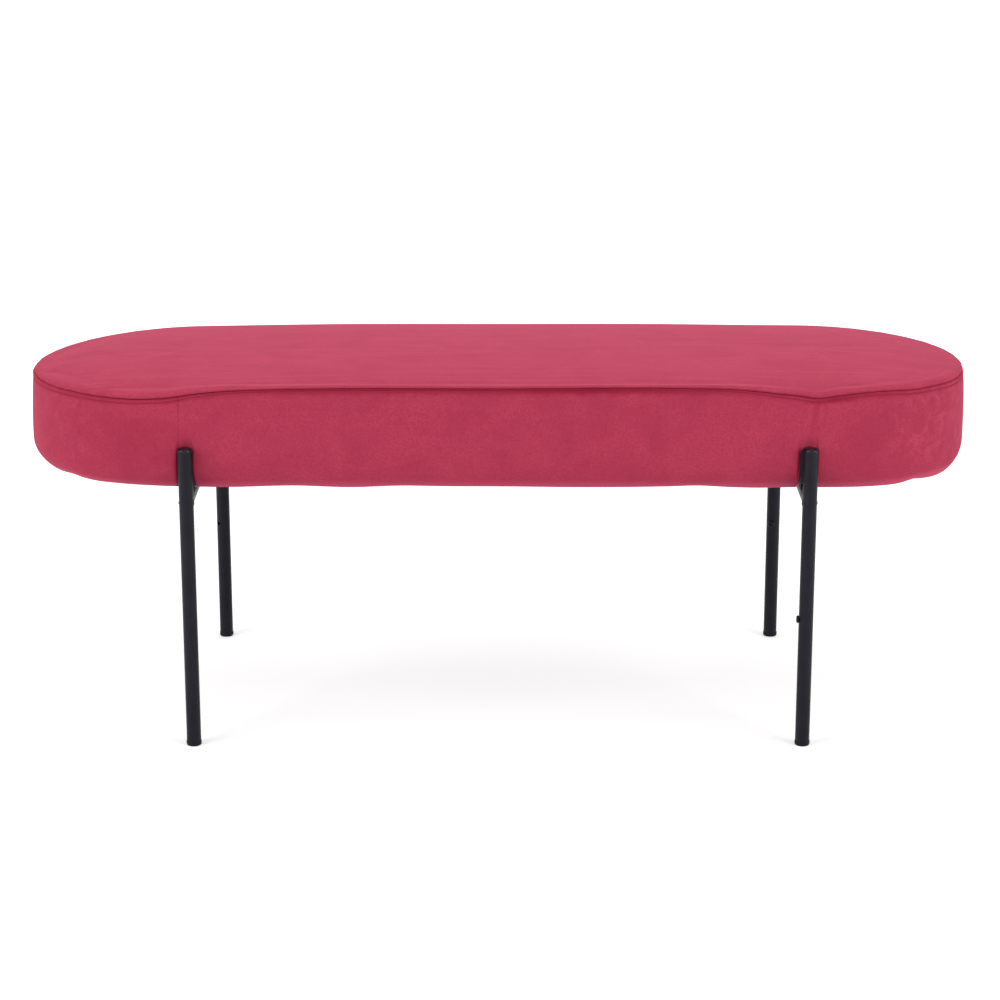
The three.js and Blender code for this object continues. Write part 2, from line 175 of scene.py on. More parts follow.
bpy.ops.object.camera_add(location=CAMERA_PLACE, rotation=(math.radians(90 - CAMERA_PITCH_DOWN), 0, 0))
camera = bpy.context.object
camera.name = "camera"
camera.data.sensor_width = SENSOR_WIDTH
camera.data.lens = FOCAL_PIXELS * SENSOR_WIDTH / PHOTO_WIDTH
bpy.context.scene.camera = camera
print("lens in mm:", round(camera.data.lens, 1))


# %% [markdown]
# ## Colour and node helpers
# Colours are written as they look on a screen, and turned to linear light by one function. One more
# function adds any node with its settings and inputs, so a material reads as a short list of steps.
# Every material here begins and ends in the same way, so two functions do that.

# %% Colour and node helpers
def linear(hex_colour):
    """Turns a screen colour such as b23a55 into the linear values that shaders use."""
    shares = [int(hex_colour[i : i + 2], 16) / 255 for i in (0, 2, 4)]
    return [c / 12.92 if c <= 0.04045 else ((c + 0.055) / 1.055) ** 2.4 for c in shares] + [1]


def add(tree, kind, inputs=(), **settings):
    """Adds a node. Inputs come by name or in order: a number, a hex colour, a socket or a node."""
    node = tree.nodes.new("ShaderNode" + kind)
    for key, value in settings.items():
        setattr(node, key, value)
    if isinstance(inputs, dict):
        pairs = [(node.inputs[key], value) for key, value in inputs.items()]
    else:
        pairs = zip([socket for socket in node.inputs if socket.enabled], inputs)
    for socket, value in pairs:
        if isinstance(value, bpy.types.Node):
            value = next(output for output in value.outputs if output.enabled)
        if isinstance(value, bpy.types.NodeSocket):
            tree.links.new(value, socket)
        else:
            socket.default_value = linear(value) if isinstance(value, str) else value
    return node


def blank_material(name):
    """A new material, its empty tree, and the place on the object, which its patterns read."""
    material = bpy.data.materials.new(name)
    material.use_nodes = True
    tree = material.node_tree
    tree.nodes.clear()
    return material, tree, add(tree, "TexCoord").outputs["Object"]


def finished(material, height, strength, depth_mm, look):
    """Ends a material: a relief from a height, the surface with its look, and the output."""
    tree = material.node_tree
    bump = add(tree, "Bump", {"Height": height, "Strength": strength, "Distance": depth_mm * MM})
    surface = add(tree, "BsdfPrincipled", {"Normal": bump, **look})
    add(tree, "OutputMaterial", {"Surface": surface})
    return material


def two_tones(tree, pattern, margin, dark, pale):
    """Two colours laid by a pattern whose values lie around a half: a small margin is soft."""
    share = add(tree, "MapRange", [pattern, margin, 1 - margin, 0, 1])
    return add(tree, "Mix", [share, dark, pale], data_type="RGBA")


def pattern_scale(size_mm):
    """The Scale that gives a pattern features of about this size, on coordinates in metres."""
    return 1 / (size_mm * MM)


# %% [markdown]
# ## Crimson velvet
# The cover is a short-pile polyester velvet. Its pile stands up like a lawn, so it looks darkest where
# it is seen straight on, and paler where it is seen at a slant: on the top, on the ends, and along the
# lip and the lower edge. A sheen lobe does that, and along the lower edge a painted light adds to it.
# The pile also lies in patches where a hand has brushed it, which a soft noise in the colour shows, and
# faint streaks run along the top. Painted shade darkens the seam's crease, the band under the lip, the
# stitch line, the band seams, the puckers, the velvet beside and just above the front legs, and two
# broad patches on the front.
# A flat pink colour with a painted gradient would look right from one side only.

# %% Velvet material
VELVET_BODY = "a8374d"
VELVET_SHADE = "9f3148"
VELVET_BRUSHED = "b8455c"
VELVET_DEEP = "8c2640"
# painted shade: the seam's crease and the grooves beside the straps
VELVET_CREASE_SHADE = "ad2142"
# painted shade: under the lip, in grooves and puckers, by the front legs
VELVET_PAINTED_SHADE = "85142c"
# painted light: the lower edge, where the velvet turns under
VELVET_PAINTED_RIM_LIGHT = "c64f6a"
VELVET_SHEEN = "ff82a0"
PILE_GRAIN = 2.2
BRUSH_SIZE = 55
SCUFF_SIZE = 17
STREAK_LENGTH = 160
STREAK_WIDTH = 9


def velvet_material(name, streak_strength, grain_strength):
    """Velvet with brushed patches, scuffs, streaks where a hand has smoothed it, and painted shade and light.
    """
    material, tree, place = blank_material(name)
    drawn_long = add(tree, "Mapping", {"Vector": place, "Scale": (STREAK_WIDTH / STREAK_LENGTH, 1, 1)})
    grain, brush, scuff, streaks = (
        add(tree, "TexNoise", {
            "Vector": where, "Scale": pattern_scale(size), "Detail": detail, "Distortion": swirl,
        })
        for where, size, detail, swirl in (
            (place, PILE_GRAIN, 2, 0), (place, BRUSH_SIZE, 3, 0.8), (place, SCUFF_SIZE, 3, 0.8),
            (drawn_long, STREAK_WIDTH, 2, 0),
        )
    )
    scuffed = add(tree, "Attribute", attribute_name="scuffed").outputs["Fac"]
    base = VELVET_SHADE
    # each layer of colour: its pattern, the values between which it sets in, its strength, its colour
    for pattern, start, full, strength, colour in (
        (brush, 0.35, 0.65, 1, VELVET_BODY), (streaks, 0.45, 0.75, streak_strength, VELVET_BRUSHED),
        (scuff, 0.5, 0.68, 0.6, VELVET_BRUSHED), (scuff, 0.5, 0.36, 0.6, VELVET_SHADE),
        (grain, 0.35, 0.7, grain_strength, VELVET_DEEP),
    ):
        share = add(tree, "MapRange", [pattern, start, full, 0, strength])
        if pattern is scuff:
            share = add(tree, "Math", [share, scuffed], operation="MULTIPLY")
        base = add(tree, "Mix", [share, base, colour], data_type="RGBA")
    # laid last: painted light along the lower edge, painted shade in the seam's crease, under the lip and by
    # the legs
    marks = {"painted_rim_light": VELVET_PAINTED_RIM_LIGHT, "crease_shade": VELVET_CREASE_SHADE, "painted_shade": VELVET_PAINTED_SHADE}
    for mark, colour in marks.items():
        share = add(tree, "Attribute", attribute_name=mark).outputs["Fac"]
        base = add(tree, "Mix", [share, base, colour], data_type="RGBA")
    pile = {
        "Base Color": base, "Roughness": 0.9, "Specular IOR Level": 0.1, "Sheen Weight": 0.33,
        "Sheen Roughness": 0.45, "Sheen Tint": VELVET_SHEEN,
    }
    return finished(material, grain, 0.3, 0.5, pile)


velvet_top = velvet_material("crimson_pile_velvet_top", 0.4, 0.5)
velvet_side = velvet_material("crimson_pile_velvet_side", 0.08, 0.52)
print("made", velvet_top.name, "and", velvet_side.name)


# %% [markdown]
# ## The seat's form
# Seen from above the seat is a stadium: two straight sides and two half-rounds. Every layer of it, from
# the foam to the cover, is one cross-section carried around that plan. It could be a subdivided box,
# but then the seam would wander between its faces. Here the cross-section is drawn point by point with
# extrude, turned around one end with spin, drawn out to the middle, and mirrored. So rows of points
# run along the seam, and the lip, the crease and the stitches can follow it exactly.

# %% Plan of the seat, from the frame
COVER_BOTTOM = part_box("velvet_front_band")[0].z / MM
END_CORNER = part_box("velvet_right_band")[1]
BOARD_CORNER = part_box("base_board")[1]
HALF_LENGTH = END_CORNER.x / MM
HALF_DEPTH = END_CORNER.y / MM
STRAIGHT_HALF = HALF_LENGTH - HALF_DEPTH
LEG_STRETCH = 60
CORNER_RADIUS = 35
CORNER_REACH = HALF_DEPTH - CORNER_RADIUS
CORNER_HEIGHT = COVER_BOTTOM + CORNER_RADIUS
SEAM_HEIGHT = 443
SEAM_REACH = HALF_DEPTH - 3
HEM_REACH = CORNER_REACH - 25
print("seat:", 2 * HALF_LENGTH, "by", 2 * HALF_DEPTH, "mm, cover from", COVER_BOTTOM, "mm up")

# %% A cross-section carried around the stadium
def drawn_line(name, places):
    """Draws a chain of points with edges between them, and stays in edit mode."""
    start_clean()
    bpy.ops.mesh.primitive_plane_add(size=MM)
    piece = named(name)
    bpy.ops.object.mode_set(mode="EDIT")
    bpy.ops.mesh.select_mode(type="VERT")
    bpy.ops.mesh.select_all(action="SELECT")
    bpy.ops.mesh.merge(type="CENTER")
    here = Vector((0, 0, 0))
    for step, place in enumerate(places):
        there = Vector(place) * MM
        if step == 0:
            bpy.ops.transform.translate(value=there - here)
        else:
            bpy.ops.mesh.extrude_region_move(TRANSFORM_OT_translate={"value": there - here})
        here = there
    return piece


def draw_out(piece, start_x, length, steps):
    """Extrudes the section at start_x toward the middle and cuts the new stretch into steps."""
    pick(piece, lambda vert: abs(vert.co.x - start_x * MM) < NEAR * MM)
    bpy.ops.mesh.extrude_region_move(TRANSFORM_OT_translate={"value": (-length * MM, 0, 0)})
    bpy.ops.mesh.select_mode(type="EDGE")
    far_end = (start_x - length + NEAR) * MM

    def is_new(edge):
        first, last = sorted(vert.co.x for vert in edge.verts)
        return last - first > 0.5 * length * MM and first < far_end

    pick(piece, is_new, "edges")
    bpy.ops.mesh.subdivide(number_cuts=steps - 1)
    bpy.ops.mesh.select_mode(type="VERT")


def carried_round(name, section, end_steps, near_steps, far_steps):
    """The section spun around one end, drawn out past the leg to the middle, and mirrored."""
    piece = drawn_line(name, [(STRAIGHT_HALF, -reach, height) for reach, height in section])
    bpy.ops.mesh.select_all(action="SELECT")
    bpy.ops.mesh.spin(steps=end_steps, angle=-math.pi, center=(STRAIGHT_HALF * MM, 0, 0), axis=(0, 0, 1))
    bpy.ops.mesh.select_all(action="SELECT")
    bpy.ops.mesh.remove_doubles(threshold=NEAR * MM)
    draw_out(piece, STRAIGHT_HALF, LEG_STRETCH, near_steps)
    draw_out(piece, STRAIGHT_HALF - LEG_STRETCH, STRAIGHT_HALF - LEG_STRETCH, far_steps)
    bpy.ops.object.mode_set(mode="OBJECT")
    finish_with(piece, "MIRROR", use_mirror_merge=True, merge_threshold=NEAR * MM)
    return face_outwards(piece)


# %% [markdown]
# ## Drawing the cross-section
# The section starts at the hem under the board, turns around the lower corner, climbs the wall to the
# seam, rolls over the lip and runs across the crown to the middle line. Rows lie close together where
# something small happens, at the seam, the stitching and the lip, and far apart elsewhere.

# %% Rows of the section
LIP_WIDTH = 14
RIDGE_REACH = SEAM_REACH - LIP_WIDTH
LIP_HEIGHT = 7
CROWN_HEIGHT = 5
STITCH_DROP = 5
LIP_UNDERCUT_DEGREES = -50

CORNER_STEPS = 10
WALL_STEPS = 8
WALL_DROPS = (27, 21, 16, 12.5, 10, 8.5, 7.2, 6.2, 5.6, 5.2, 4.8, 4.4, 3.8, 3, 2.2, 1.5, 0.9, 0.4)
LIP_DEGREES = (-35, -20, -8, 3, 15, 28, 42, 56, 70, 80, 90)
CROWN_STEPS_IN = (2, 4, 6.5, 9.5, 13, 17, 22, 28, 35, 43, 52, 62, 74, 88, 104, 122, 142, 162)


def wall_reach(height):
    """The wall leans in a little on its way up to the seam."""
    share = (height - CORNER_HEIGHT) / (SEAM_HEIGHT - CORNER_HEIGHT)
    return HALF_DEPTH - (HALF_DEPTH - SEAM_REACH) * share * share


def corner_and_wall(drops):
    """Points from under the board, around the corner and up to the seam: the last rows at these drops."""
    turns = [math.radians(-90 + 90 * k / CORNER_STEPS) for k in range(CORNER_STEPS + 1)]
    corner = [
        (CORNER_REACH + CORNER_RADIUS * math.cos(turn), CORNER_HEIGHT + CORNER_RADIUS * math.sin(turn))
        for turn in turns
    ]
    rise = SEAM_HEIGHT - drops[0] - CORNER_HEIGHT
    heights = [CORNER_HEIGHT + rise * k / WALL_STEPS for k in range(1, WALL_STEPS + 1)]
    heights += [SEAM_HEIGHT - drop for drop in drops[1:]]
    return corner + [(wall_reach(height), height) for height in heights]


def lip_point(degrees):
    """A point of the rolled lip: under 0 degrees it turns back in toward the seam."""
    turn = math.radians(degrees)
    low = math.sin(math.radians(LIP_UNDERCUT_DEGREES))
    height = SEAM_HEIGHT + LIP_HEIGHT * (math.sin(turn) - low) / (1 - low)
    return RIDGE_REACH + LIP_WIDTH * math.cos(turn), height


def cover_section():
    """The whole cover, from the hem to the middle line."""
    hem = [(reach, COVER_BOTTOM) for reach in (HEM_REACH, HEM_REACH + 10, CORNER_REACH - 6)]
    lip = [lip_point(degrees) for degrees in (LIP_UNDERCUT_DEGREES, *LIP_DEGREES)]
    crown = [(RIDGE_REACH - step, SEAM_HEIGHT + LIP_HEIGHT) for step in (*CROWN_STEPS_IN, RIDGE_REACH)]
    return hem + corner_and_wall(WALL_DROPS) + lip + crown


# %% [markdown]
# ## Where a point lies on the seat
# Two numbers say where any point of the seat is: how far it reaches out from the middle line, and how
# far along the outline it lies, counted from the middle of the front, plus to the right. With these the
# seam can rise along the front, a leg can press in at its own place, and a stitch can follow its row.

# %% Places along the outline
HALF_ROUND = math.pi * HALF_DEPTH
HALF_OUTLINE = 2 * STRAIGHT_HALF + HALF_ROUND
REAR_CORNER = STRAIGHT_HALF + HALF_ROUND
END_MIDDLE = STRAIGHT_HALF + HALF_ROUND / 2


def plan_of(points):
    """For rows of x, y, z: reach, place along the outline, middle-line x and outward direction."""
    x, y = points[:, 0] / MM, points[:, 1] / MM
    inside = np.clip(x, -STRAIGHT_HALF, STRAIGHT_HALF)
    over = x - inside
    reach = np.hypot(over, y)
    turn = np.arctan2(np.abs(over), -y)
    on_rear = (over == 0) & (y > 0)
    front_way = np.abs(inside) + HALF_DEPTH * turn
    rear_way = HALF_OUTLINE - np.abs(inside)
    along = np.where(x < 0, -1, 1) * np.where(on_rear, rear_way, front_way)
    safe = np.maximum(reach, 1e-6)
    return reach, along, inside, np.stack([over / safe, y / safe], axis=1)


def smooth(value, start, end):
    """Rises smoothly from 0 at start to 1 at end."""
    share = np.clip((value - start) / (end - start), 0, 1)
    return share * share * (3 - 2 * share)


def hump(value, centre, width):
    """A soft hump of height 1 at the centre."""
    return np.exp(-(((value - centre) / width) ** 2))


def through(stops, place):
    """A smooth curve through (place, value) stops."""
    places, values = (np.array(column, float) for column in zip(*stops))
    slopes = np.gradient(values, places)
    k = np.clip(np.searchsorted(places, place) - 1, 0, len(places) - 2)
    gap = places[k + 1] - places[k]
    t = np.clip((place - places[k]) / gap, 0, 1)
    rise = (1 + 2 * t) * (1 - t) ** 2 * values[k] + t * t * (3 - 2 * t) * values[k + 1]
    return rise + gap * (t * (1 - t) ** 2 * slopes[k] - t * t * (1 - t) * slopes[k + 1])


# %% [markdown]
# ## How the seam, the lip and the lower corner run
# In the photograph the seam doesn't lie level. It is low around both ends, rises over the front legs and
# runs high along the middle, where the lip above it is thin and tight. Over the right front leg it
# drops into a small dip with a hump beside it. The rows below give, at places along the outline and all
# in millimetres: the seam's height, how high the lip stands over it, how wide the lip rolls, how far it
# stands out past the seam, the lower corner's radius, and how far the lower edge sags. The rear isn't
# in the photograph except for its top edge, so it runs evenly there.

# %% Seam, lip and corner along the outline
SEAM_STOPS = (
    (-HALF_OUTLINE, 445.4), (-REAR_CORNER - 170, 445.6), (-REAR_CORNER - 60, 444.3),
    (-REAR_CORNER + 60, 442.6), (-800, 439.5), (-637, 438.5), (-540, 439.2), (-430, 440.6), (-402, 442.8),
    (-372, 447.4), (-340, 451), (-280, 454), (-200, 455.5), (0, 455.3), (230, 455.5), (290, 453.6),
    (318, 451), (342, 448), (366, 445.5), (389, 442.4), (412, 445.2), (438, 447.5), (460, 448.2),
    (480, 447.6), (511, 445.2), (555, 443.4), (637, 439.9), (800, 441.5), (REAR_CORNER - 60, 443.5),
    (REAR_CORNER + 60, 444.5), (REAR_CORNER + 170, 445.6), (HALF_OUTLINE, 445.4),
)
LIP_RISE_STOPS = (
    (-HALF_OUTLINE, 5.5), (-REAR_CORNER, 5), (-900, 4.5), (-END_MIDDLE, 4.5), (-600, 8), (-430, 9), (-340, 6),
    (-280, 4.2), (-200, 3.5), (0, 3.5), (230, 3.5), (341, 6), (402, 7.4), (450, 6), (511, 7.8), (600, 8),
    (END_MIDDLE, 6.5), (900, 6), (REAR_CORNER, 5.5), (HALF_OUTLINE, 5.5),
)
LIP_WIDTH_STOPS = (
    (-HALF_OUTLINE, 11), (-REAR_CORNER, 15), (-END_MIDDLE, 20), (-600, 17), (-430, 14), (-340, 9), (-280, 6),
    (-200, 5), (230, 5), (300, 6), (341, 9), (402, 11), (450, 9), (511, 13), (600, 15), (END_MIDDLE, 18),
    (REAR_CORNER, 14), (HALF_OUTLINE, 11),
)
LIP_OUT_STOPS = (
    (-HALF_OUTLINE, 0.5), (-REAR_CORNER, -1), (-END_MIDDLE, -2.5), (-600, -1), (-480, 1.5), (480, 1.5),
    (600, 0), (END_MIDDLE, -1.5), (REAR_CORNER, -0.5), (HALF_OUTLINE, 0.5),
)
CORNER_STOPS = (
    (-HALF_OUTLINE, 33), (-1100, 34), (-1049, 35), (-990, 32), (-850, 27), (-590, 27), (-470, 30), (-425, 34),
    (-383, 35), (-330, 34), (0, 33), (330, 34), (379, 35), (425, 34), (480, 27), (560, 21), (610, 20),
    (700, 27), (850, 27), (990, 32), (1045, 35), (1100, 34), (HALF_OUTLINE, 33),
)
SAG_STOPS = (
    (-HALF_OUTLINE, 2.4), (-1250, 3.1), (-1150, 2.1), (-1050, 2.6), (-900, 2), (-640, 1.5), (-590, 3),
    (-560, 1.6), (-533, 2.8), (-480, 1.8), (-327, 3.6), (-253, 1.6), (-179, 3.6), (-123, 1.7), (-60, 2.5),
    (0, 2.7), (117, 3.7), (210, 2.6), (247, 1.6), (284, 3.5), (321, 4.6), (350, 4.2), (420, 4.2), (470, 4.4),
    (515, 4.6), (538, 2.6), (560, 5), (592, 7), (630, 4.6), (680, 2.4), (760, 1.6), (900, 2.4), (1045, 2.8),
    (1180, 2.2), (1300, 3.2), (HALF_OUTLINE, 2.4),
)
SEAM_LOW = 443
SEAM_HIGH = 455.5
UNDERCUT = 2.2
END_DRAW = 2.2
STITCH_NEAR = 2.7
BROAD_STEPS = (-120, -80, -40, 0, 40, 80, 120)
CORNER_DROP = SEAM_HEIGHT - CORNER_HEIGHT
FREE_DROP = WALL_DROPS[0]


def tightness(seam):
    """0 where the seam is low and the lip is round, 1 where it is high and the lip is tight."""
    return np.clip((seam - SEAM_LOW) / (SEAM_HIGH - SEAM_LOW), 0, 1)


def on_front(along):
    """1 along the front and its corners, 0 behind."""
    return 1 - smooth(np.abs(along), 620, 800)


def stitch_drop(along):
    """How far under the seam the topstitch runs: close under it where the lip is tight."""
    tight = tightness(through(SEAM_STOPS, along)) * on_front(along)
    return STITCH_DROP + (STITCH_NEAR - STITCH_DROP) * tight


def shoulder_height(along):
    """Height of the lip's ridge over the floor."""
    return through(SEAM_STOPS, along) + through(LIP_RISE_STOPS, along)


def broad_shoulder(along):
    """The shoulder's height without its small dips, which don't reach across the seat."""
    return sum(shoulder_height(along + step) for step in BROAD_STEPS) / len(BROAD_STEPS)


def crown_height(points, reach, along, inside):
    """Height of the seat's top: the shoulders joined across, with a low crown between them."""
    rear_place = np.where(inside < 0, -1, 1) * (HALF_OUTLINE - np.abs(inside))
    front, rear = broad_shoulder(inside), broad_shoulder(rear_place)
    share = np.clip(reach / RIDGE_REACH, 0, 1)
    across = np.clip(points[:, 1] / MM / RIDGE_REACH, -1, 1)
    middle = (front + rear) / 2 + (rear - front) / 2 * across
    edge = shoulder_height(along)
    return middle + (edge - middle) * share**5 + CROWN_HEIGHT * (1 - share**2)


def end_draw(along):
    """The round ends are drawn in a little by the pull of the cover."""
    place = np.abs(along)
    return END_DRAW * smooth(place, STRAIGHT_HALF, 560) * (1 - smooth(place, 900, REAR_CORNER))


def lower_corner(reach, height, along):
    """Reach and height of a point of the hem or the lower corner, at the corner's own radius here."""
    radius = through(CORNER_STOPS, along)
    turn = np.arctan2(height - CORNER_HEIGHT, np.maximum(reach - CORNER_REACH, 1e-6))
    flat = reach <= CORNER_REACH
    flat_stretch = (HALF_DEPTH - radius - HEM_REACH) / (CORNER_REACH - HEM_REACH)
    flat_reach = HEM_REACH + (reach - HEM_REACH) * flat_stretch
    new_reach = np.where(flat, flat_reach, HALF_DEPTH - radius + radius * np.cos(turn))
    new_height = np.where(flat, height, COVER_BOTTOM + radius + radius * np.sin(turn))
    return new_reach, new_height


def fitted(points):
    """Fits an even, level form to the real seam, lip, crown and lower corner: what placed() needs."""
    reach, along, inside, outward = plan_of(points)
    height = points[:, 2] / MM
    seam = through(SEAM_STOPS, along)
    drop = SEAM_HEIGHT - height
    near = stitch_drop(along) / STITCH_DROP
    free = drop * (near + (1 - near) * smooth(drop, STITCH_DROP, FREE_DROP))
    corner_top = COVER_BOTTOM + through(CORNER_STOPS, along)
    stretch = (seam - FREE_DROP - corner_top) / (CORNER_DROP - FREE_DROP)
    wall = np.where(drop > FREE_DROP, corner_top + (height - CORNER_HEIGHT) * stretch, seam - free)
    low_sine = math.sin(math.radians(LIP_UNDERCUT_DEGREES))
    low_cosine = math.cos(math.radians(LIP_UNDERCUT_DEGREES))
    sine = np.clip(low_sine - drop / LIP_HEIGHT * (1 - low_sine), -1, 1)
    cosine = np.sqrt(1 - sine**2)
    width = through(LIP_WIDTH_STOPS, along)
    over_lip = np.where(sine > 0, width * (1 - cosine), UNDERCUT * (1 - cosine) / (1 - low_cosine))
    lip_reach = SEAM_REACH + through(LIP_OUT_STOPS, along)
    lip_height = seam + through(LIP_RISE_STOPS, along) * (sine - low_sine) / (1 - low_sine)
    ridge = lip_reach - width
    crown_reach = reach / RIDGE_REACH * ridge
    valley = 0.9 * tightness(seam) * on_front(along) * hump(ridge - crown_reach, 9, 6)
    crown = crown_height(points, reach, along, inside) - valley
    corner_reach, corner_height = lower_corner(reach, height, along)
    on_wall = (drop >= -NEAR) & (height > CORNER_HEIGHT + NEAR)
    on_crown = (reach < RIDGE_REACH - NEAR) & (drop < 0)
    on_lip = (drop < -NEAR) & ~on_crown
    parts = [on_wall, on_crown, on_lip]
    new_height = np.select(parts, [wall, crown, lip_height], corner_height)
    new_reach = np.select(parts, [reach, crown_reach, lip_reach - over_lip], corner_reach)
    new_reach = new_reach - end_draw(along) * smooth(new_reach, HEM_REACH, CORNER_REACH)
    return (new_reach, new_height, inside, outward), along, drop


def placed(reach, height, inside, outward):
    """Rows of x, y, z for points given by reach and height."""
    flat = outward * reach[:, None]
    return np.stack([inside + flat[:, 0], flat[:, 1], height], axis=1) * MM


# %% [markdown]
# ## Where the straps and legs press
# Each saddle strap lies flat against the cover, and the velvet swells beside it. The straps' places come
# from the frame, so the hollows in the velvet can never miss them.

# %% Straps on the outline
STRAP_HALF = 10
STRAP_NAMES = ("front_left", "front_right", "rear_left", "rear_right")
PRESS_REACH = HALF_DEPTH - 0.15


def strap_place(name):
    """A strap's middle, along the outline."""
    low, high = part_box(name + "_saddle_strap")
    middle = (low.x + high.x) / 2 / MM
    if high.y < 0:
        return middle
    return math.copysign(HALF_OUTLINE - abs(middle), middle)


strap_places = {name: strap_place(name) for name in STRAP_NAMES}
STRAP_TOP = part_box("front_left_saddle_strap")[1].z / MM
print("straps along the outline:", {name: round(place, 1) for name, place in strap_places.items()})


# how far past each edge of a strap the velvet stays flat: left edge at the top and at the bottom, right edge
STRAP_EDGES = {
    "front_left": (-3.5, -2.5, -2), "front_right": (-0.5, 0.5, -1), "rear_left": (-0.5, 0, -0.5),
    "rear_right": (-0.5, 0, -0.5),
}
EDGE_FADE = 2.5


def edge_distance(name, along, height):
    """How far a point lies outside the flat zone behind a strap, in millimetres."""
    left_top, left_bottom, right = STRAP_EDGES[name]
    left = left_bottom + (left_top - left_bottom) * smooth(height, 340, STRAP_TOP + 2)
    beside = along - strap_places[name]
    return np.maximum(beside - STRAP_HALF - right, -beside - STRAP_HALF - left)


def beside_edge(name, along, height):
    """0 in the flat zone behind a strap, 1 beside it: a sharp edge at the strap, a soft one over it."""
    above = smooth(height, STRAP_TOP - 3, STRAP_TOP + 9)
    return smooth(edge_distance(name, along, height) + 6 * above, 0, EDGE_FADE + 12 * above)


def strap_press(along, height):
    """1 behind a strap, falling to 0 beside it."""
    return 1 - np.minimum.reduce([beside_edge(name, along, height) for name in STRAP_NAMES])


# %% [markdown]
# ## The padding under the cover
# Foam and wadding push out against a cover that is held at the seam, under the board and behind the
# straps. Sculpting that swell by eye gives an even tube. So a plain copy of the seat's form is remeshed,
# pinned where the real one is held, and blown up a little with the cloth solver. How far each point
# moved is then given to the fine cover above it, and the swollen form itself becomes the wadding and
# the foam.

# %% Swell the padding
PAD_DEPTH = 2.3
PAD_VOXEL = 6
PAD_PRESSURE = 4
PAD_FRAMES = 20
PAD_CAP = 4.2
PIN_UNDER = 14
PIN_SEAM = 7


def pad_section():
    """A coarse closed section: under the board, around the side and over the top."""
    under = [(reach, COVER_BOTTOM) for reach in (0, 70, HEM_REACH, CORNER_REACH - 6)]
    lip = [lip_point(degrees) for degrees in (3, 42, 90)]
    crown = [(RIDGE_REACH - step, SEAM_HEIGHT + LIP_HEIGHT) for step in (9, 22, 52, 104, 142, RIDGE_REACH)]
    return under + corner_and_wall((FREE_DROP, 16, 8, 3, 0)) + lip + crown


def pin_weights(points):
    """1 where the real padding can't swell: under the board, at the seam and behind the straps."""
    reach, along = plan_of(points)[:2]
    height = points[:, 2] / MM
    under = 1 - smooth(height, COVER_BOTTOM + PIN_UNDER - 6, COVER_BOTTOM + PIN_UNDER)
    from_seam = np.abs(height - through(SEAM_STOPS, along))
    at_seam = (1 - smooth(from_seam, PIN_SEAM - 3, PIN_SEAM)) * (reach > RIDGE_REACH)
    behind = strap_press(along, height) * (height < STRAP_TOP + 3) * (reach > CORNER_REACH)
    return np.maximum.reduce([under, at_seam, behind])


padding = carried_round("padding_form", pad_section(), end_steps=60, near_steps=10, far_steps=40)
move_points(padding, placed(*fitted(points_of(padding))[0]))
finish_with(padding, "DISPLACE", strength=-PAD_DEPTH * MM, mid_level=0)
finish_with(padding, "REMESH", mode="VOXEL", voxel_size=PAD_VOXEL * MM)
pad_start = points_of(padding)
pad_push = np.zeros_like(pad_start)
held = padding.vertex_groups.new(name="held")
for index, weight in enumerate(pin_weights(pad_start)):
    held.add([index], float(weight), "REPLACE")
activate(padding)
swell = padding.modifiers.new("swell", "CLOTH")
swell.settings.use_pressure = True
swell.settings.uniform_pressure_force = PAD_PRESSURE
swell.settings.vertex_group_mass = "held"
swell.settings.effector_weights.gravity = 0
swell.point_cache.frame_end = PAD_FRAMES
for step in range(1, PAD_FRAMES + 1):
    bpy.context.scene.frame_set(step)
bpy.ops.object.modifier_apply(modifier=swell.name)
bpy.context.scene.frame_set(1)
pad_push = points_of(padding) - pad_start
distance = np.linalg.norm(pad_push, axis=1)
print("free swell up to", round(distance.max() / MM, 1), "mm")
pad_push *= (PAD_CAP * MM / (PAD_CAP * MM + distance))[:, None]
move_points(padding, pad_start + pad_push)
print("padding:", len(pad_start), "points, swell up to", round(np.abs(pad_push).max() / MM, 1), "mm")

# %% Ask the padding how far it moved
NEIGHBOURS = 6
pad_tree = KDTree(len(pad_start))
for index, place in enumerate(pad_start):
    pad_tree.insert(place, index)
pad_tree.balance()


def swell_at(points):
    """The padding's push near each point, a mean of the nearest ones."""
    push = np.zeros_like(points)
    for row, place in enumerate(points):
        total = 0
        for _, index, away in pad_tree.find_n(place, NEIGHBOURS):
            share = 1 / (away + MM)
            push[row] += pad_push[index] * share
            total += share
        push[row] /= total
    return push


# %% [markdown]
# ## Sewing the cover
# The cover is five pieces of velvet: a top panel and four bands. Each is a part of one even form, which
# is cut along its own rows while it is still level, so the pieces meet exactly. Then every point moves
# to its place: out with the padding, in at the seam, the topstitch and the upright band seams, flat
# behind the straps, and into the small puckers that the photograph shows. Displacing by an image would
# need one. These moves are plain functions of where a point lies.

# %% Small shapes in the velvet
SEAM_TURN_IN = 1.2
BULGE = 4.2
STITCH_GROOVE = 0.9
BAND_SEAM = STRAIGHT_HALF - 11
BAND_SEAM_PLACES = (BAND_SEAM, HALF_OUTLINE - BAND_SEAM)
PUCKERS = (
    (389, 5, 381, 46, 3.4, 1.5), (399, 4, 398, 38, 3.0, 0.9), (404, 3, 446, 8, 3.2, 2.2),
    (374, 6, 371, 32, 3.0, 0.7), (-522, 9, -533, 31, 2.0, 1.5), (-560, 5, -566, 22, 3.0, 0.5),
    (-401, 5, -404, 24, 2.6, 0.5), (-374, 6, -378, 36, 3.5, 0.5), (470, 5, 476, 34, 4.0, 0.6),
    (520, 4, 512, 30, 4.5, 0.6), (1034, 5, 1040, 34, 3.2, 0.8), (-1036, 5, -1044, 30, 3.2, 0.7),
)
TOP_FOLDS = (
    (-560, -70, -500, -142, 6, 1.1), (-585, -45, -545, -128, 5, 0.9), (-480, -170, -400, -176, 5, 0.6),
    (538, -80, 500, -140, 6, 0.6), (440, -176, 396, -186, 5, 0.9),
)


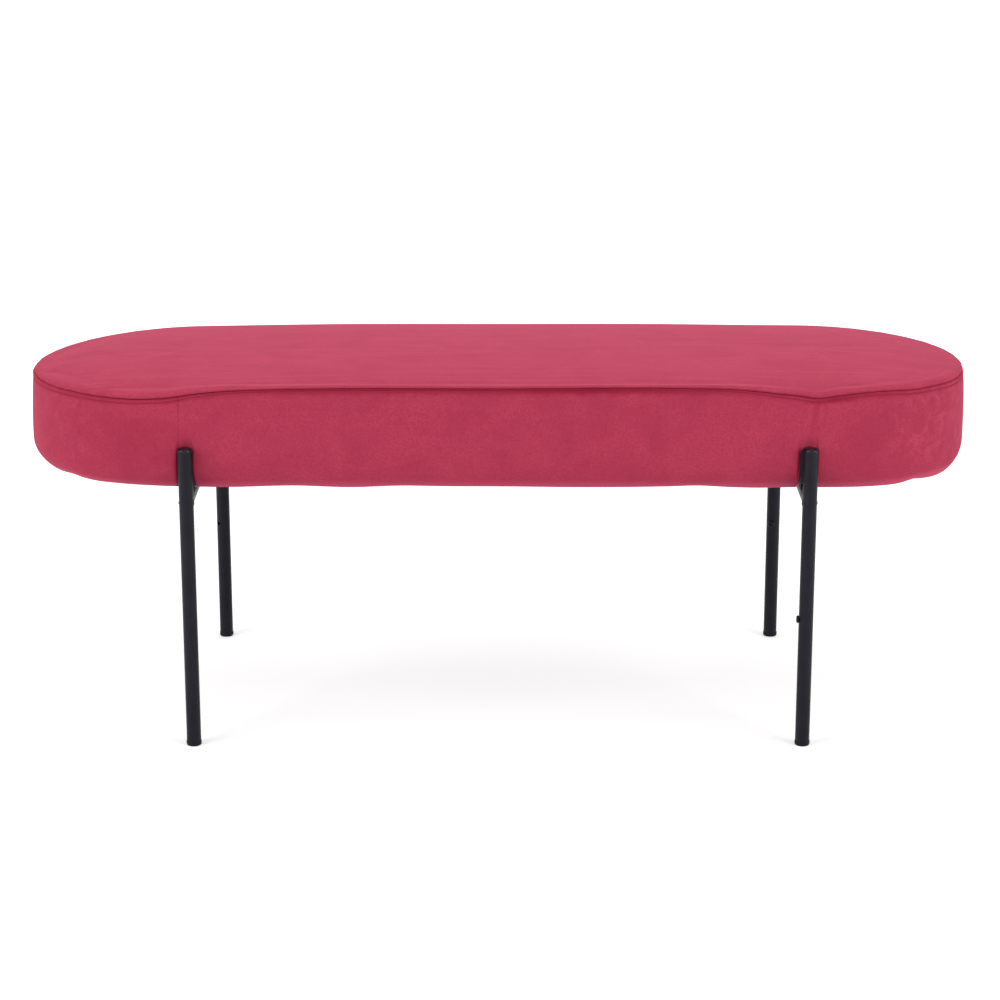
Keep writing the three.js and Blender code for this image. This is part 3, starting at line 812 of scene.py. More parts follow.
def pucker(along, under, row):
    """A short soft groove in the wall, between two places under the seam, or on top between two x, y."""
    place_a, under_a, place_b, under_b, width, depth = row
    run = np.array([place_b - place_a, under_b - under_a], float)
    offset = np.stack([along - place_a, under - under_a], axis=1)
    share = np.clip(offset @ run / (run @ run), 0, 1)
    away = np.hypot(*(offset - share[:, None] * run).T)
    return depth * np.exp(-((away / width) ** 2)) * (1 - 0.6 * share)


def gathers(along):
    """Small uneven waves where the band is eased around a round end."""
    at_ends = smooth(np.abs(along), STRAIGHT_HALF, 470) * (1 - smooth(np.abs(along), 960, REAR_CORNER))
    waves = np.sin(along / 3.9) + np.sin(along / 6.1 + 1.3) + np.sin(along / 9.7 + 0.4)
    return 0.16 * waves * (0.25 + at_ends)


def beside_straps(along, height):
    """The velvet swells where it comes out from behind a strap."""
    bulge = np.zeros_like(along)
    for name in STRAP_NAMES:
        away = edge_distance(name, along, height)
        rise = np.maximum(beside_edge(name, along, height), smooth(height, STRAP_TOP, STRAP_TOP + 16))
        bulge = np.maximum(bulge, BULGE * rise * (1 - smooth(away, 2, 28)))
    return bulge * smooth(height, 334, 356) * (1 - smooth(height, STRAP_TOP - 14, STRAP_TOP + 24))


# how strong the painted shade under the lip is, along the outline
SEAM_SHADE_STOPS = (
    (-1050, 0.3), (-560, 0.35), (-430, 0.35), (-330, 0.35), (-250, 0.5), (-150, 0.55), (0, 0.55), (125, 0.8),
    (175, 0.7), (249, 0.5), (300, 0.35), (345, 0.2), (385, 0.4), (408, 0.65), (450, 0.5), (520, 0.3),
    (1050, 0.3),
)


def crease_shade_marks(along, under, height, on_wall):
    """Painted shade in the seam's crease and in the grooves beside the straps, from 0 to 1."""
    # painted shade in the grooves beside the straps, and along the seam line
    beside = [hump(edge_distance(name, along, height), 1, 4.5) for name in STRAP_NAMES]
    beside = 0.85 * np.maximum.reduce(beside) * (1 - smooth(height, STRAP_TOP - 6, STRAP_TOP + 1))
    return on_wall * np.maximum(hump(under, 0, 1), beside)


def painted_shade_marks(along, under, height, on_wall):
    """Painted shade under the lip, in grooves and puckers, and by the front legs, from 0 to 1."""
    line = stitch_drop(along)
    uneven = 6.2 + 0.5 * np.sin(along / 7.3) + 0.4 * np.sin(along / 3.1 + 1)
    band = smooth(under, 0.4, 2) * (1 - smooth(under, uneven - 0.7, uneven + 4))
    # painted shade in the band under the lip, and on the lip's side of the seam
    below_seam = np.where(on_wall, through(SEAM_SHADE_STOPS, along) * band, 0.6 * hump(under, 0, 1.7))
    # painted shadow left of the front left leg, and painted shade just above both front legs
    shadow_left_of_leg = hump(along - strap_places["front_left"], -8, 5) * hump(height, 361, 15)
    shade_over_legs = [hump(along - strap_places[name], 2, 6) for name in ("front_left", "front_right")]
    shade_over_legs = 0.6 * sum(shade_over_legs) * hump(height, STRAP_TOP + 2, 6)
    # painted shade in the stitch groove, along the band seams and in the puckers
    stitch_line = 0.75 * hump(under, line, 1.1) * on_wall
    beside = np.abs(np.abs(along) - BAND_SEAM)
    band_seam = hump(beside, 0, 1) * np.where(along < 0, 0.45, 0.1) * (1 - smooth(under, 8, 30)) * on_wall
    folds = sum(0.22 * pucker(along, under, row) for row in PUCKERS)
    # two broad patches of painted shade on the front wall, one near each front leg
    left_shade_patch = 0.2 * hump(along, -445, 60) * hump(height, 390, 55) * on_wall
    right_shade_patch = 0.15 * hump(along, 430, 48) * hump(height, 362, 38) * on_wall
    marks = [below_seam, stitch_line, band_seam, folds, shadow_left_of_leg, shade_over_legs, left_shade_patch, right_shade_patch]
    return np.clip(np.maximum.reduce(marks), 0, 1)


def painted_rim_light_marks(height, on_wall):
    """Painted light along the lower edge, where the velvet turns under the seat."""
    return 0.55 * on_wall * (1 - smooth(height, COVER_BOTTOM + 2, COVER_BOTTOM + 11))


def scuffs(along, height, on_wall):
    """Where the pile was rubbed: mostly around the right end."""
    right = smooth(along, 455, 540) * (1 - smooth(along, 700, 780))
    left = 0.35 * hump(along, -560, 90)
    return on_wall * np.clip(right + left + 0.12, 0, 1) * smooth(height, 340, 365)


def soft_waves(along, height):
    """Broad shallow unevenness of hand-pulled velvet."""
    slow = np.sin(along / 37 + height / 29) + np.sin(along / 61 - height / 41 + 2)
    quick = np.sin(along / 17 + height / 23 + 1)
    return 0.22 * slow + 0.1 * quick


def sewn(points):
    """The final place of each point of the cover, and how strongly each mark shows there: painted shade,
    painted light and rubbed pile.
    """
    (reach, height, inside, outward), along, drop = fitted(points)
    start = placed(reach, height, inside, outward)
    push = swell_at(start) / MM
    seam = through(SEAM_STOPS, along)
    under = seam - height
    side = smooth(height, COVER_BOTTOM + 6, COVER_BOTTOM + 40)
    on_wall = drop >= -NEAR
    on_side = on_wall & (reach > CORNER_REACH)
    free = np.where(on_wall, smooth(under, 3, 16), smooth(SEAM_REACH - reach, 3, 24))
    press = strap_press(along, height) * (reach > CORNER_REACH - 20)
    held = press * (1 - smooth(height, STRAP_TOP - 2, STRAP_TOP + 14))
    loose = free * (1 - held)
    reach = reach + np.sum(push[:, :2] * outward, axis=1) * loose
    reach = reach + np.where(on_side, beside_straps(along, height) * (1 - held), 0)
    height = height + push[:, 2] * loose
    waves = soft_waves(along, height) * loose
    reach = reach + np.where(on_wall, waves * side, 0)
    height = height + np.where(on_wall, 0, waves * 0.8)
    folds = sum(pucker(start[:, 0] / MM, start[:, 1] / MM, row) for row in TOP_FOLDS)
    height = height - np.where(on_wall, 0, folds)
    line = stitch_drop(along)
    ease = gathers(along)
    turn_in = SEAM_TURN_IN * (1 - smooth(under, 0, 1.9))
    groove = STITCH_GROOVE * hump(under, line, 0.8) - 0.3 * hump(under, line * 0.5, 0.9)
    beside = np.minimum.reduce([np.abs(np.abs(along) - place) for place in BAND_SEAM_PLACES])
    band_seam = 0.7 * hump(beside, 0, 1.1) * (0.25 + 0.75 * hump(under, 6, 18)) * (1 - 0.8 * held)
    faint = 0.15 * (1 - smooth(under, 8, 30))
    band_seam = band_seam * np.where(on_front(along) * (along > 0) > 0.5, faint, 1)
    puckers = sum(pucker(along, under, row) for row in PUCKERS)
    gather = ease * (np.exp(-np.maximum(under, 0) / 11))
    over_straps = sum(0.4 * hump(along, place, 8) for place in strap_places.values())
    dimple = over_straps * hump(height, STRAP_TOP + 4, 5)
    inward = turn_in + groove + band_seam + puckers * (1 - held) + gather + dimple
    reach = reach - np.where(on_side, inward * side, 0)
    lip = ~on_wall & (reach > RIDGE_REACH - 8)
    reach = reach - np.where(lip, ease * 0.8, 0)
    to_strap = np.minimum.reduce([np.abs(along - place) for place in strap_places.values()])
    over_strap = 1 - smooth(to_strap, STRAP_HALF, STRAP_HALF + 1.5)
    sag = through(SAG_STOPS, along) * smooth(reach, 142, 162) * (1 - over_strap)
    height = height - sag * (1 - smooth(height, COVER_BOTTOM + 6, COVER_BOTTOM + 34))
    reach = reach * (1 - held) + np.minimum(reach, PRESS_REACH) * held
    # the marks: painted shade, painted light along the lower edge, and rubbed pile
    marks = {
        "crease_shade": crease_shade_marks(along, under, height, on_wall), "painted_shade": painted_shade_marks(along, under, height, on_wall),
        "painted_rim_light": painted_rim_light_marks(height, on_wall), "scuffed": scuffs(along, height, on_wall),
    }
    return placed(reach, height, inside, outward), marks

# %% Cut the even form into five panels and sew them
VELVET_THICKNESS = 2
SMOOTH_ANGLE = math.radians(35)


def cut_off(piece, name, test):
    """Separates the faces whose middle passes a test, as a new piece."""
    edit(piece, "FACE")
    pick(piece, lambda face: test(face.calc_center_median()), "faces")
    bpy.ops.mesh.separate(type="SELECTED")
    bpy.ops.object.mode_set(mode="OBJECT")
    return named(name, next(other for other in bpy.context.selected_objects if other != piece))


def dressed(piece, material, slot, *replaced, angle=SMOOTH_ANGLE):
    """Gives a piece its finish, smoothness and body, and hides the nodes it stands for. slot isn't used."""
    piece.data.materials.clear()
    piece.data.materials.append(material)
    activate(piece)
    if angle:
        bpy.ops.object.shade_smooth_by_angle(angle=angle)
    else:
        bpy.ops.object.shade_smooth()
    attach(piece, "root")
    if replaced:
        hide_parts(*replaced)
    print(piece.name, len(piece.data.polygons), "faces")
    return piece


def soft_layer(piece, material, slot, node):
    """Dresses a padded layer of the seat, which is smooth all over."""
    dressed(piece, material, slot, node, angle=None)


form = carried_round("velvet_front_cover", cover_section(), end_steps=240, near_steps=60, far_steps=85)
print("cover form:", len(form.data.vertices), "points in", len(cover_section()), "rows")
band_edge = BAND_SEAM * MM
panels = {
    "top_panel": cut_off(form, "velvet_top_cover", lambda middle: middle.z > SEAM_HEIGHT * MM),
    "left_band": cut_off(form, "velvet_left_cover", lambda middle: middle.x < -band_edge),
    "right_band": cut_off(form, "velvet_right_cover", lambda middle: middle.x > band_edge),
    "rear_band": cut_off(form, "velvet_rear_cover", lambda middle: middle.y > 0), "front_band": form,
}
for place, panel in panels.items():
    points, marks = sewn(points_of(panel))
    move_points(panel, points)
    for mark, values in marks.items():
        layer = panel.data.attributes.new(mark, "FLOAT", "POINT")
        layer.data.foreach_set("value", values.astype(np.float32))
    finish_with(panel, "SOLIDIFY", thickness=VELVET_THICKNESS * MM, offset=-1)
    soft_layer(panel, velvet_top if place == "top_panel" else velvet_side, "velvet", "velvet_" + place)


# %% [markdown]
# ## Topstitching
# A few millimetres under the seam a row of stitches holds the seam allowance down. Single stitches show
# as short dashes of thread in a fine groove. A bump map would be flat at the edge of the seat, so each
# stitch is real: one is modelled, repeated by Array, and led around the seat by Curve.

# %% Rows of repeated small pieces
STITCH_PITCH = 4.2
STITCH_LENGTH = 3.5
THREAD_WIDTH = 0.75
THREAD_COLOUR = "8a1a34"
TWIST_SCALE = 600
PATH_STEP = 3


def outline_place(along):
    """Middle-line x and outward direction at a place along the outline."""
    side = math.copysign(1, along)
    place = abs(along)
    if place <= STRAIGHT_HALF:
        return along, (0, -1)
    if place >= REAR_CORNER:
        return side * (HALF_OUTLINE - place), (0, 1)
    turn = (place - STRAIGHT_HALF) / HALF_DEPTH
    return side * STRAIGHT_HALF, (side * math.sin(turn), -math.cos(turn))


def outline_points(reach, height):
    """Rows of points once around the outline at a level reach and height."""
    count = round(2 * HALF_OUTLINE / PATH_STEP)
    places = [(k / count * 2 - 1) * HALF_OUTLINE for k in range(count)]
    spots = [outline_place(along) for along in places]
    inside = np.array([spot[0] for spot in spots], float)
    outward = np.array([spot[1] for spot in spots], float)
    return placed(np.full(count, float(reach)), np.full(count, float(height)), inside, outward)


def led_around(unit, path_name, points, pitch_mm):
    """Repeats a small piece along a closed curve through rows of points, at about the given pitch."""
    start_clean()
    shape = bpy.data.curves.new(path_name, "CURVE")
    shape.dimensions = "3D"
    shape.twist_mode = "Z_UP"
    line = shape.splines.new("POLY")
    line.points.add(len(points) - 1)
    for point, place in zip(line.points, points):
        point.co = (*place, 1)
    line.use_cyclic_u = True
    path = bpy.data.objects.new(path_name, shape)
    bpy.context.collection.objects.link(path)
    length = float(np.linalg.norm(np.roll(points, -1, axis=0) - points, axis=1).sum())
    count = round(length / (pitch_mm * MM))
    finish_with(
        unit, "ARRAY", count=count, use_relative_offset=False, use_constant_offset=True,
        constant_offset_displace=(length / count, 0, 0),
    )
    finish_with(unit, "CURVE", object=path, deform_axis="POS_X")
    remove(path)
    return count

# %% Topstitch thread
thread, tree, place = blank_material("crimson_polyester_thread")
strands = add(
    tree, "TexWave", {"Vector": place, "Scale": TWIST_SCALE, "Distortion": 2}, bands_direction="DIAGONAL",
)
tone = add(tree, "Mix", [strands.outputs["Fac"], THREAD_COLOUR, VELVET_SHADE], data_type="RGBA")
twist = add(tree, "BsdfPrincipled", {"Base Color": tone, "Roughness": 0.7, "Specular IOR Level": 0.15})
add(tree, "OutputMaterial", {"Surface": twist})

start_clean()
bpy.ops.mesh.primitive_uv_sphere_add(
    segments=6, ring_count=5, radius=0.5, location=(STITCH_LENGTH / 2 * MM, 0, 0),
    rotation=(0, math.pi / 2, 0),
)
stitches = named("seam_topstitching")
stitches.scale = (THREAD_WIDTH * MM, THREAD_WIDTH * MM, STITCH_LENGTH * MM)
settle(stitches)
stitch_height = SEAM_HEIGHT - STITCH_DROP
stitch_row = sewn(outline_points(wall_reach(stitch_height), stitch_height))[0]
print("stitches:", led_around(stitches, "stitch_path", stitch_row, STITCH_PITCH))
dressed(stitches, thread, "velvet", angle=None)


# %% [markdown]
# ## Wadding and foam
# A fleece of polyester wadding lies over the foam and around the edge of the board. Both are hidden by
# the velvet, but they carry its shape, so they are made from the swollen form: moved in under the
# cover, opened below for the wadding, and given a recess for the board in the foam.

# %% Wadding and foam materials
PADDING_CLOUD = 40


def padding_material(name, dark, pale, cell_mm, depth_mm, fluffy):
    """A soft open material: fibres or foam cells as a fine relief, with a little sheen."""
    material, tree, place = blank_material(name)
    cells = add(tree, "TexVoronoi", {"Vector": place, "Scale": pattern_scale(cell_mm)})
    clouds = add(tree, "TexNoise", {"Vector": place, "Scale": pattern_scale(PADDING_CLOUD), "Detail": 4})
    look = {
        "Base Color": two_tones(tree, clouds, 0.3, dark, pale), "Roughness": 0.95,
        "Specular IOR Level": 0.2, "Sheen Weight": fluffy,
    }
    return finished(material, cells, 0.5, depth_mm, look)


fleece = padding_material("white_polyester_fleece", "e9e9e4", "f5f5f2", 2.5, 0.5, 0.3)
foam = padding_material("cream_cut_foam", "e0d6b4", "ece4c9", 1.2, 0.4, 0.05)

# %% Make both from the swollen form
COVER_CLEARANCE = 2.4
WADDING_THICKNESS = 6
BOARD_REACH = BOARD_CORNER.y / MM
RECESS_TOP = BOARD_CORNER.z / MM + 0.3


def tucked_in(piece):
    """Draws the padding in under the seam, where the sewn edge turns inward."""
    points = points_of(piece)
    reach, along, inside, outward = plan_of(points)
    height = points[:, 2] / MM
    at_edge = smooth(reach, RIDGE_REACH - 14, RIDGE_REACH)
    drawn_in = 7 * (hump(height, through(SEAM_STOPS, along) + 1, 11) * at_edge)
    near_edge = smooth(reach, RIDGE_REACH - 34, RIDGE_REACH - 12)
    lowered = 5 * near_edge * smooth(height, SEAM_LOW - 8, SEAM_LOW + 4)
    move_points(piece, placed(reach - drawn_in, height - lowered, inside, outward))
    return piece


def lift_under_board(piece):
    """Presses the foam up over the board."""
    points = points_of(piece)
    reach = plan_of(points)[0]
    over_board = (reach < BOARD_REACH + 0.3) & (points[:, 2] < RECESS_TOP * MM)
    points[over_board, 2] = RECESS_TOP * MM
    move_points(piece, points)


wadding = duplicate(tucked_in(padding), "fleece_wadding")
finish_with(wadding, "DISPLACE", strength=-COVER_CLEARANCE * MM, mid_level=0)
edit(wadding, "FACE")
pick(
    wadding,
    lambda face: face.calc_center_median().z < (COVER_BOTTOM + 12) * MM
    and plan_of(np.array([face.calc_center_median()]))[0][0] < BOARD_REACH + 1,
    "faces",
)
bpy.ops.mesh.delete(type="FACE")
bpy.ops.object.mode_set(mode="OBJECT")
finish_with(wadding, "SOLIDIFY", thickness=WADDING_THICKNESS * MM, offset=-1)
soft_layer(wadding, fleece, "wadding", "wadding_layer")

foam_core = named("foam_core", padding)
finish_with(foam_core, "DISPLACE", strength=-(COVER_CLEARANCE + WADDING_THICKNESS + 0.5) * MM, mid_level=0)
lift_under_board(foam_core)
finish_with(foam_core, "DECIMATE", ratio=0.6)
foam_core.vertex_groups.clear()
soft_layer(foam_core, foam, "foam", "foam_block")


# %% [markdown]
# ## Black powder coat, black plastic and zinc
# The legs and straps are powder-coated steel: a dry powder baked to a thick, even skin. It hides the
# steel, so it is a plastic layer on metal and not a metal itself. It is near black, satin, and has a
# fine orange peel that breaks the lamps' reflections into soft bands. The glides are moulded plastic,
# which is a little duller, and the bolts are steel with a thin bright zinc layer.

# %% Hard materials
POWDER_BLACK = "0b0a15"
POWDER_WORN = "12111c"
PEEL_SIZE = 1.1
COAT_CLOUD = 18
PLASTIC_BLACK = "0c0c0e"
ZINC_LIGHT = "c3c6c9"
ZINC_DULL = "9ea3a8"


def coat_material(name, dark, pale, roughness, peel_mm, peel_depth, metallic=0.0, gloss_level=0.16):
    """A hard finish: two close tones in clouds, uneven gloss and a fine surface relief."""
    material, tree, place = blank_material(name)
    clouds, peel = (
        add(tree, "TexNoise", {"Vector": place, "Scale": pattern_scale(size), "Detail": detail})
        for size, detail in ((COAT_CLOUD, 3), (peel_mm, 1))
    )
    look = {
        "Base Color": two_tones(tree, clouds, 0.35, dark, pale),
        "Roughness": add(tree, "MapRange", [clouds, 0.3, 0.7, roughness - 0.03, roughness + 0.04]),
        "Metallic": metallic, "Specular IOR Level": gloss_level,
    }
    return finished(material, peel, 0.3, peel_depth, look)


powder_coat = coat_material("satin_black_powder_coat", POWDER_BLACK, POWDER_WORN, 0.4, PEEL_SIZE, 0.05)
gloss_enamel = coat_material(
    "gloss_black_enamel", POWDER_BLACK, POWDER_WORN, 0.2, 0.5, 0.005, gloss_level=0.22,
)
black_plastic = coat_material("moulded_black_plastic", PLASTIC_BLACK, POWDER_BLACK, 0.5, 0.5, 0.03)
bright_zinc = coat_material(
    "bright_zinc_plate", ZINC_DULL, ZINC_LIGHT, 0.32, 3, 0.02, metallic=1.0, gloss_level=0.5,
)
for material in (powder_coat, gloss_enamel, black_plastic, bright_zinc):
    print("made", material.name)


# %% [markdown]
# ## Round steel, cut and rounded
# The frame gives each hard piece's exact place. A few helpers remake them finely: a round bar is a
# cylinder with many sides, a rounded edge is a bevel, and a hole or a coped end is a boolean cut.

# %% Helpers for hard pieces
ROUND_SIDES = 64
ORIGIN = Vector((0, 0, 0))


def middle_of(name):
    """The middle of a frame piece's box."""
    low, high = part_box(name)
    return (low + high) / 2


def upright_box(name):
    """A frame piece's middle, and its width, bottom and top in millimetres."""
    low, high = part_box(name)
    return middle_of(name), (high.x - low.x) / MM, low.z / MM, high.z / MM


def bar(name, place, diameter, low, high, sides=ROUND_SIDES, ends="NGON", turned=(0, 0, 0)):
    """A round bar from one height to another, in millimetres, upright or turned about its middle."""
    start_clean()
    bpy.ops.mesh.primitive_cylinder_add(
        vertices=sides, radius=diameter / 2 * MM, depth=(high - low) * MM, end_fill_type=ends,
        location=(place.x, place.y, (low + high) / 2 * MM), rotation=turned,
    )
    return settle(named(name))


def hollowed(piece):
    """Gives an open bar the wall of a tube."""
    finish_with(piece, "SOLIDIFY", thickness=TUBE_WALL * MM, offset=-1, use_even_offset=True)
    return face_outwards(piece)


def cut(piece, tool, operation="DIFFERENCE"):
    """Cuts one piece with another and drops the tool."""
    finish_with(piece, "BOOLEAN", object=tool, operation=operation, solver="EXACT")
    remove(tool)
    return piece


def joined(piece, *others):
    """Joins separate shells into one piece."""
    activate(piece)
    for other in others:
        other.select_set(True)
    bpy.ops.object.join()
    return piece


def bevel_where(piece, test, width, steps):
    """Rounds the edges that pass a test."""
    edit(piece, "EDGE")
    pick(piece, test, "edges")
    bpy.ops.mesh.bevel(offset=width * MM, offset_type="OFFSET", segments=steps, profile=0.5)
    bpy.ops.object.mode_set(mode="OBJECT")


def soft_edges(piece, width):
    """Breaks all sharp edges a little."""
    return finish_with(
        piece, "BEVEL", width=width * MM, segments=2, limit_method="ANGLE", angle_limit=math.radians(60),
    )


def level_ring(height):
    """A test for edges that lie level at a height."""
    return lambda edge: all(abs(vert.co.z - height * MM) < NEAR * MM for vert in edge.verts)


def upright(edge):
    """A test for edges that run up and down."""
    return abs(edge.verts[0].co.z - edge.verts[1].co.z) > MM


# %% [markdown]
# ## The four legs
# Each leg is a straight tube. Its top is closed by a welded plug with a softly rounded edge, and below
# sits a plastic glide with a shallow flat foot. A small hole in the side of each tube takes a screw in
# two of them. Tube, plug and glide stay separate pieces, because on the real bench they are.

# %% Leg tubes, caps and glides
TUBE_WALL = 1.5
CAP_EDGE = 2.7
GLIDE_EDGE = 2.2
PLUG_GAP = 0.2
PLUG_EDGE = 0.8
PLUG_OVERLAP = 0.4
SIDE_HOLE = 5
SIDE_HOLE_HEIGHT = 165
HOLE_DIRECTIONS = {"front_left": 60, "front_right": 176, "rear_left": 226, "rear_right": 249}


def leg_tube(name):
    """A tube with a hole drilled into one side."""
    middle, width, bottom, top = upright_box(name + "_leg_tube")
    tube = hollowed(bar(name + "_tube", middle, width, bottom, top, ends="NOTHING"))
    turn = math.radians(HOLE_DIRECTIONS[name])
    reach = width / 2
    spot = Vector((middle.x + math.cos(turn) * reach * MM, middle.y + math.sin(turn) * reach * MM, 0))
    low, high = SIDE_HOLE_HEIGHT - reach, SIDE_HOLE_HEIGHT + reach
    cut(tube, bar("drill", spot, SIDE_HOLE, low, high, ROUND_SIDES // 2, turned=(0, math.pi / 2, turn)))
    return dressed(tube, powder_coat, "black_steel", name + "_leg_tube")


def with_plug(head, place, width, far_end, joint):
    """Joins a cap or glide to the plug that goes into the tube, up or down to its far end."""
    low, high = sorted((far_end, joint + math.copysign(PLUG_OVERLAP, joint - far_end)))
    plug = bar("plug", place, width - 2 * TUBE_WALL - PLUG_GAP, low, high)
    bevel_where(plug, level_ring(far_end), PLUG_EDGE, 3)
    return cut(head, plug, "UNION")


def tube_cap(name):
    """A low lid with a rounded edge."""
    middle, width, bottom, top = upright_box(name + "_tube_cap")
    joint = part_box(name + "_leg_tube")[1].z / MM
    cap = bar(name + "_cap", middle, width, joint, top)
    bevel_where(cap, level_ring(top), CAP_EDGE, 6)
    with_plug(cap, middle, width, bottom, joint)
    return dressed(cap, gloss_enamel, "black_steel", name + "_tube_cap")


def foot_glide(name):
    """A foot with a rounded rim, and a fine line where it meets the tube."""
    middle, width, bottom, top = upright_box(name + "_foot_glide")
    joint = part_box(name + "_leg_tube")[0].z / MM
    glide = bar(name + "_glide", middle, width, bottom, joint)
    bevel_where(glide, level_ring(bottom), GLIDE_EDGE, 5)
    bevel_where(glide, level_ring(joint), 0.4, 2)
    with_plug(glide, middle, width - 1, top, joint)
    return dressed(glide, black_plastic, "black_plastic", name + "_foot_glide")


for name in STRAP_NAMES:
    leg_tube(name)
    tube_cap(name)
    foot_glide(name)


# %% [markdown]
# ## Saddle straps
# A flat bar is bent under each lower corner of the seat. It lies up the seat's side behind the leg, is
# welded to it, and ends in a fully round top. Here its side view is drawn as one line of points, given
# its width by extrude and its thickness by Solidify, and the round top is a bevel of two short edges.

# %% Straps
STRAP_WIDTH = 20
STRAP_THICKNESS = 3
STRAP_BEND_STEPS = 18
STRAP_BEND_GAP = 0.9
STRAP_EDGE = 0.5


def saddle_strap(name):
    """One bent bar: its side view as a line, then its width, its thickness and its round top."""
    low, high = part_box(name + "_saddle_strap")
    side = -1 if high.y < 0 else 1
    free_end, outer = sorted((abs(low.y) / MM, abs(high.y) / MM))
    top, inner_face, under_face = high.z / MM, outer - STRAP_THICKNESS, low.z / MM + STRAP_THICKNESS
    radius = CORNER_RADIUS + STRAP_BEND_GAP
    centre_reach, centre_height = inner_face - radius, under_face + radius
    points = [(inner_face, top), (inner_face, top - STRAP_WIDTH / 2)]
    for k in range(STRAP_BEND_STEPS + 1):
        turn = math.radians(-90 * k / STRAP_BEND_STEPS)
        points.append((centre_reach + radius * math.cos(turn), centre_height + radius * math.sin(turn)))
    points.append((free_end, under_face))
    strap = drawn_line(name + "_strap", [(low.x / MM, side * reach, height) for reach, height in points])
    bpy.ops.mesh.select_all(action="SELECT")
    bpy.ops.mesh.extrude_region_move(TRANSFORM_OT_translate={"value": (STRAP_WIDTH * MM, 0, 0)})
    bpy.ops.object.mode_set(mode="OBJECT")
    turned_out = strap.data.polygons[0].normal.y * side > 0
    finish_with(strap, "SOLIDIFY", thickness=STRAP_THICKNESS * MM, offset=1 if turned_out else -1)
    face_outwards(strap)
    at_top = level_ring(top)
    through_bar = lambda edge: at_top(edge) and abs(edge.verts[0].co.y - edge.verts[1].co.y) > MM
    bevel_where(strap, through_bar, STRAP_WIDTH / 2 - NEAR, 12)
    return dressed(soft_edges(strap, STRAP_EDGE), powder_coat, "black_steel", name + "_saddle_strap")


for name in STRAP_NAMES:
    saddle_strap(name)


# %% [markdown]
# ## Cross tubes and mounting tabs
# Under the seat a thinner tube joins the two legs of each frame. Its ends are coped, cut to the round
# of the legs, so that the weld closes all around. Two flat tabs on top of it carry the bolts.

# %% Cross tubes and tabs
COPE_GAP = 0.05
TAB_CORNER = 6
TAB_EDGE = 0.35
BOLT_HOLE = 6.8


def cross_tube(side):
    """A level tube between the legs of one side, its ends cut to their round."""
    middle, _, bottom, top = upright_box(side + "_cross_tube")
    diameter, level, half = top - bottom, middle.z / MM, abs(middle_of("front_left_leg_tube").y) / MM
    tube = hollowed(bar(
        side + "_crossbar", middle, diameter, level - half, level + half, ends="NOTHING",
        turned=(math.pi / 2, 0, 0),
    ))
    for end in ("front_", "rear_"):
        leg, width, _, _ = upright_box(end + side + "_leg_tube")
        cut(tube, bar("cope", leg, width + 2 * COPE_GAP, level - diameter, level + diameter))
    return dressed(tube, powder_coat, "black_steel", side + "_cross_tube")


def mounting_tab(name):
    """A flat tab with round corners and two bolt holes."""
    low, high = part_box(name + "_mounting_tab")
    start_clean()
    bpy.ops.mesh.primitive_cube_add(size=1, location=(low + high) / 2, scale=high - low)
    tab = settle(named(name + "_tab"))
    bevel_where(tab, upright, TAB_CORNER, 8)
    for row in ("outer", "inner"):
        bolt = middle_of(f"{name}_{row}_bolt")
        cut(tab, bar("drill", bolt, BOLT_HOLE, low.z / MM - 2, high.z / MM + 2, sides=32))
    return dressed(soft_edges(tab, TAB_EDGE), powder_coat, "black_steel", name + "_mounting_tab")


for side in ("left", "right"):
    cross_tube(side)
for name in STRAP_NAMES:
    mounting_tab(name)


# %% [markdown]
# ## Welds
# The frame is welded by hand and coated afterwards, so its beads are black too. They show as slightly
# rippled fillets beside the straps, around the cross tubes and under the tabs.

# %% Weld beads
RIPPLE = 2.1
RING_PITCH = 0.7
BEAD_SIDES = 14
STRAP_BEAD = 1.5
STRAP_BEAD_ASIDE = 5.6
STRAP_BEAD_LOW = 352
STRAP_BEAD_DROP = 6
TAB_BEAD = 1.4
TAB_BEAD_ASIDE = 4.9
TAB_BEAD_HALF = 13
TAB_BEAD_ENDS = (142, 164)


def ringed(piece, cuts):
    """Cuts the long edges of a bar, which gives it rings of points to move."""
    edit(piece, "EDGE")
    pick(piece, upright, "edges")
    bpy.ops.mesh.subdivide(number_cuts=cuts)
    bpy.ops.object.mode_set(mode="OBJECT")
    return piece


def bead(start, end, radius):
    """A rippled bar between two places, tapered at both ends. Millimetres."""
    start, end = Vector(start), Vector(end)
    run = end - start
    half = run.length / 2
    piece = ringed(
        bar("bead", ORIGIN, 2 * radius, -half, half, BEAD_SIDES), max(4, round(run.length / RING_PITCH)),
    )
    points = points_of(piece)
    share = points[:, 2] / (half * MM)
    swell = (1 - 0.75 * share**6) * (1 + 0.12 * np.sin(points[:, 2] / MM * 2 * math.pi / RIPPLE))
    points[:, :2] *= swell[:, None]
    move_points(piece, points)
    piece.rotation_euler = run.to_track_quat("Z", "Y").to_euler()
    piece.location = (start + end) / 2 * MM
    return settle(piece)


def saddle_bead(leg, height, leg_radius, tube_radius, side):
    """A rippled ring around a cross tube where it meets a leg."""
    start_clean()
    bpy.ops.mesh.primitive_torus_add(
        major_segments=72, minor_segments=10, major_radius=(tube_radius + 0.3) * MM,
        minor_radius=STRAP_BEAD * MM, rotation=(math.pi / 2, 0, 0),
    )
    ring = settle(named("bead"))
    points = points_of(ring)
    turn = np.arctan2(points[:, 2], points[:, 0])
    points[:, 1] *= 1 + 0.07 * np.sin(turn * 24)
    depth = np.sqrt(np.maximum((leg_radius + 0.8) ** 2 - (points[:, 0] / MM) ** 2, 0)) * MM
    points[:, 1] += leg.y - side * depth
    points[:, 0] += leg.x
    points[:, 2] += height
    move_points(ring, points)
    return ring


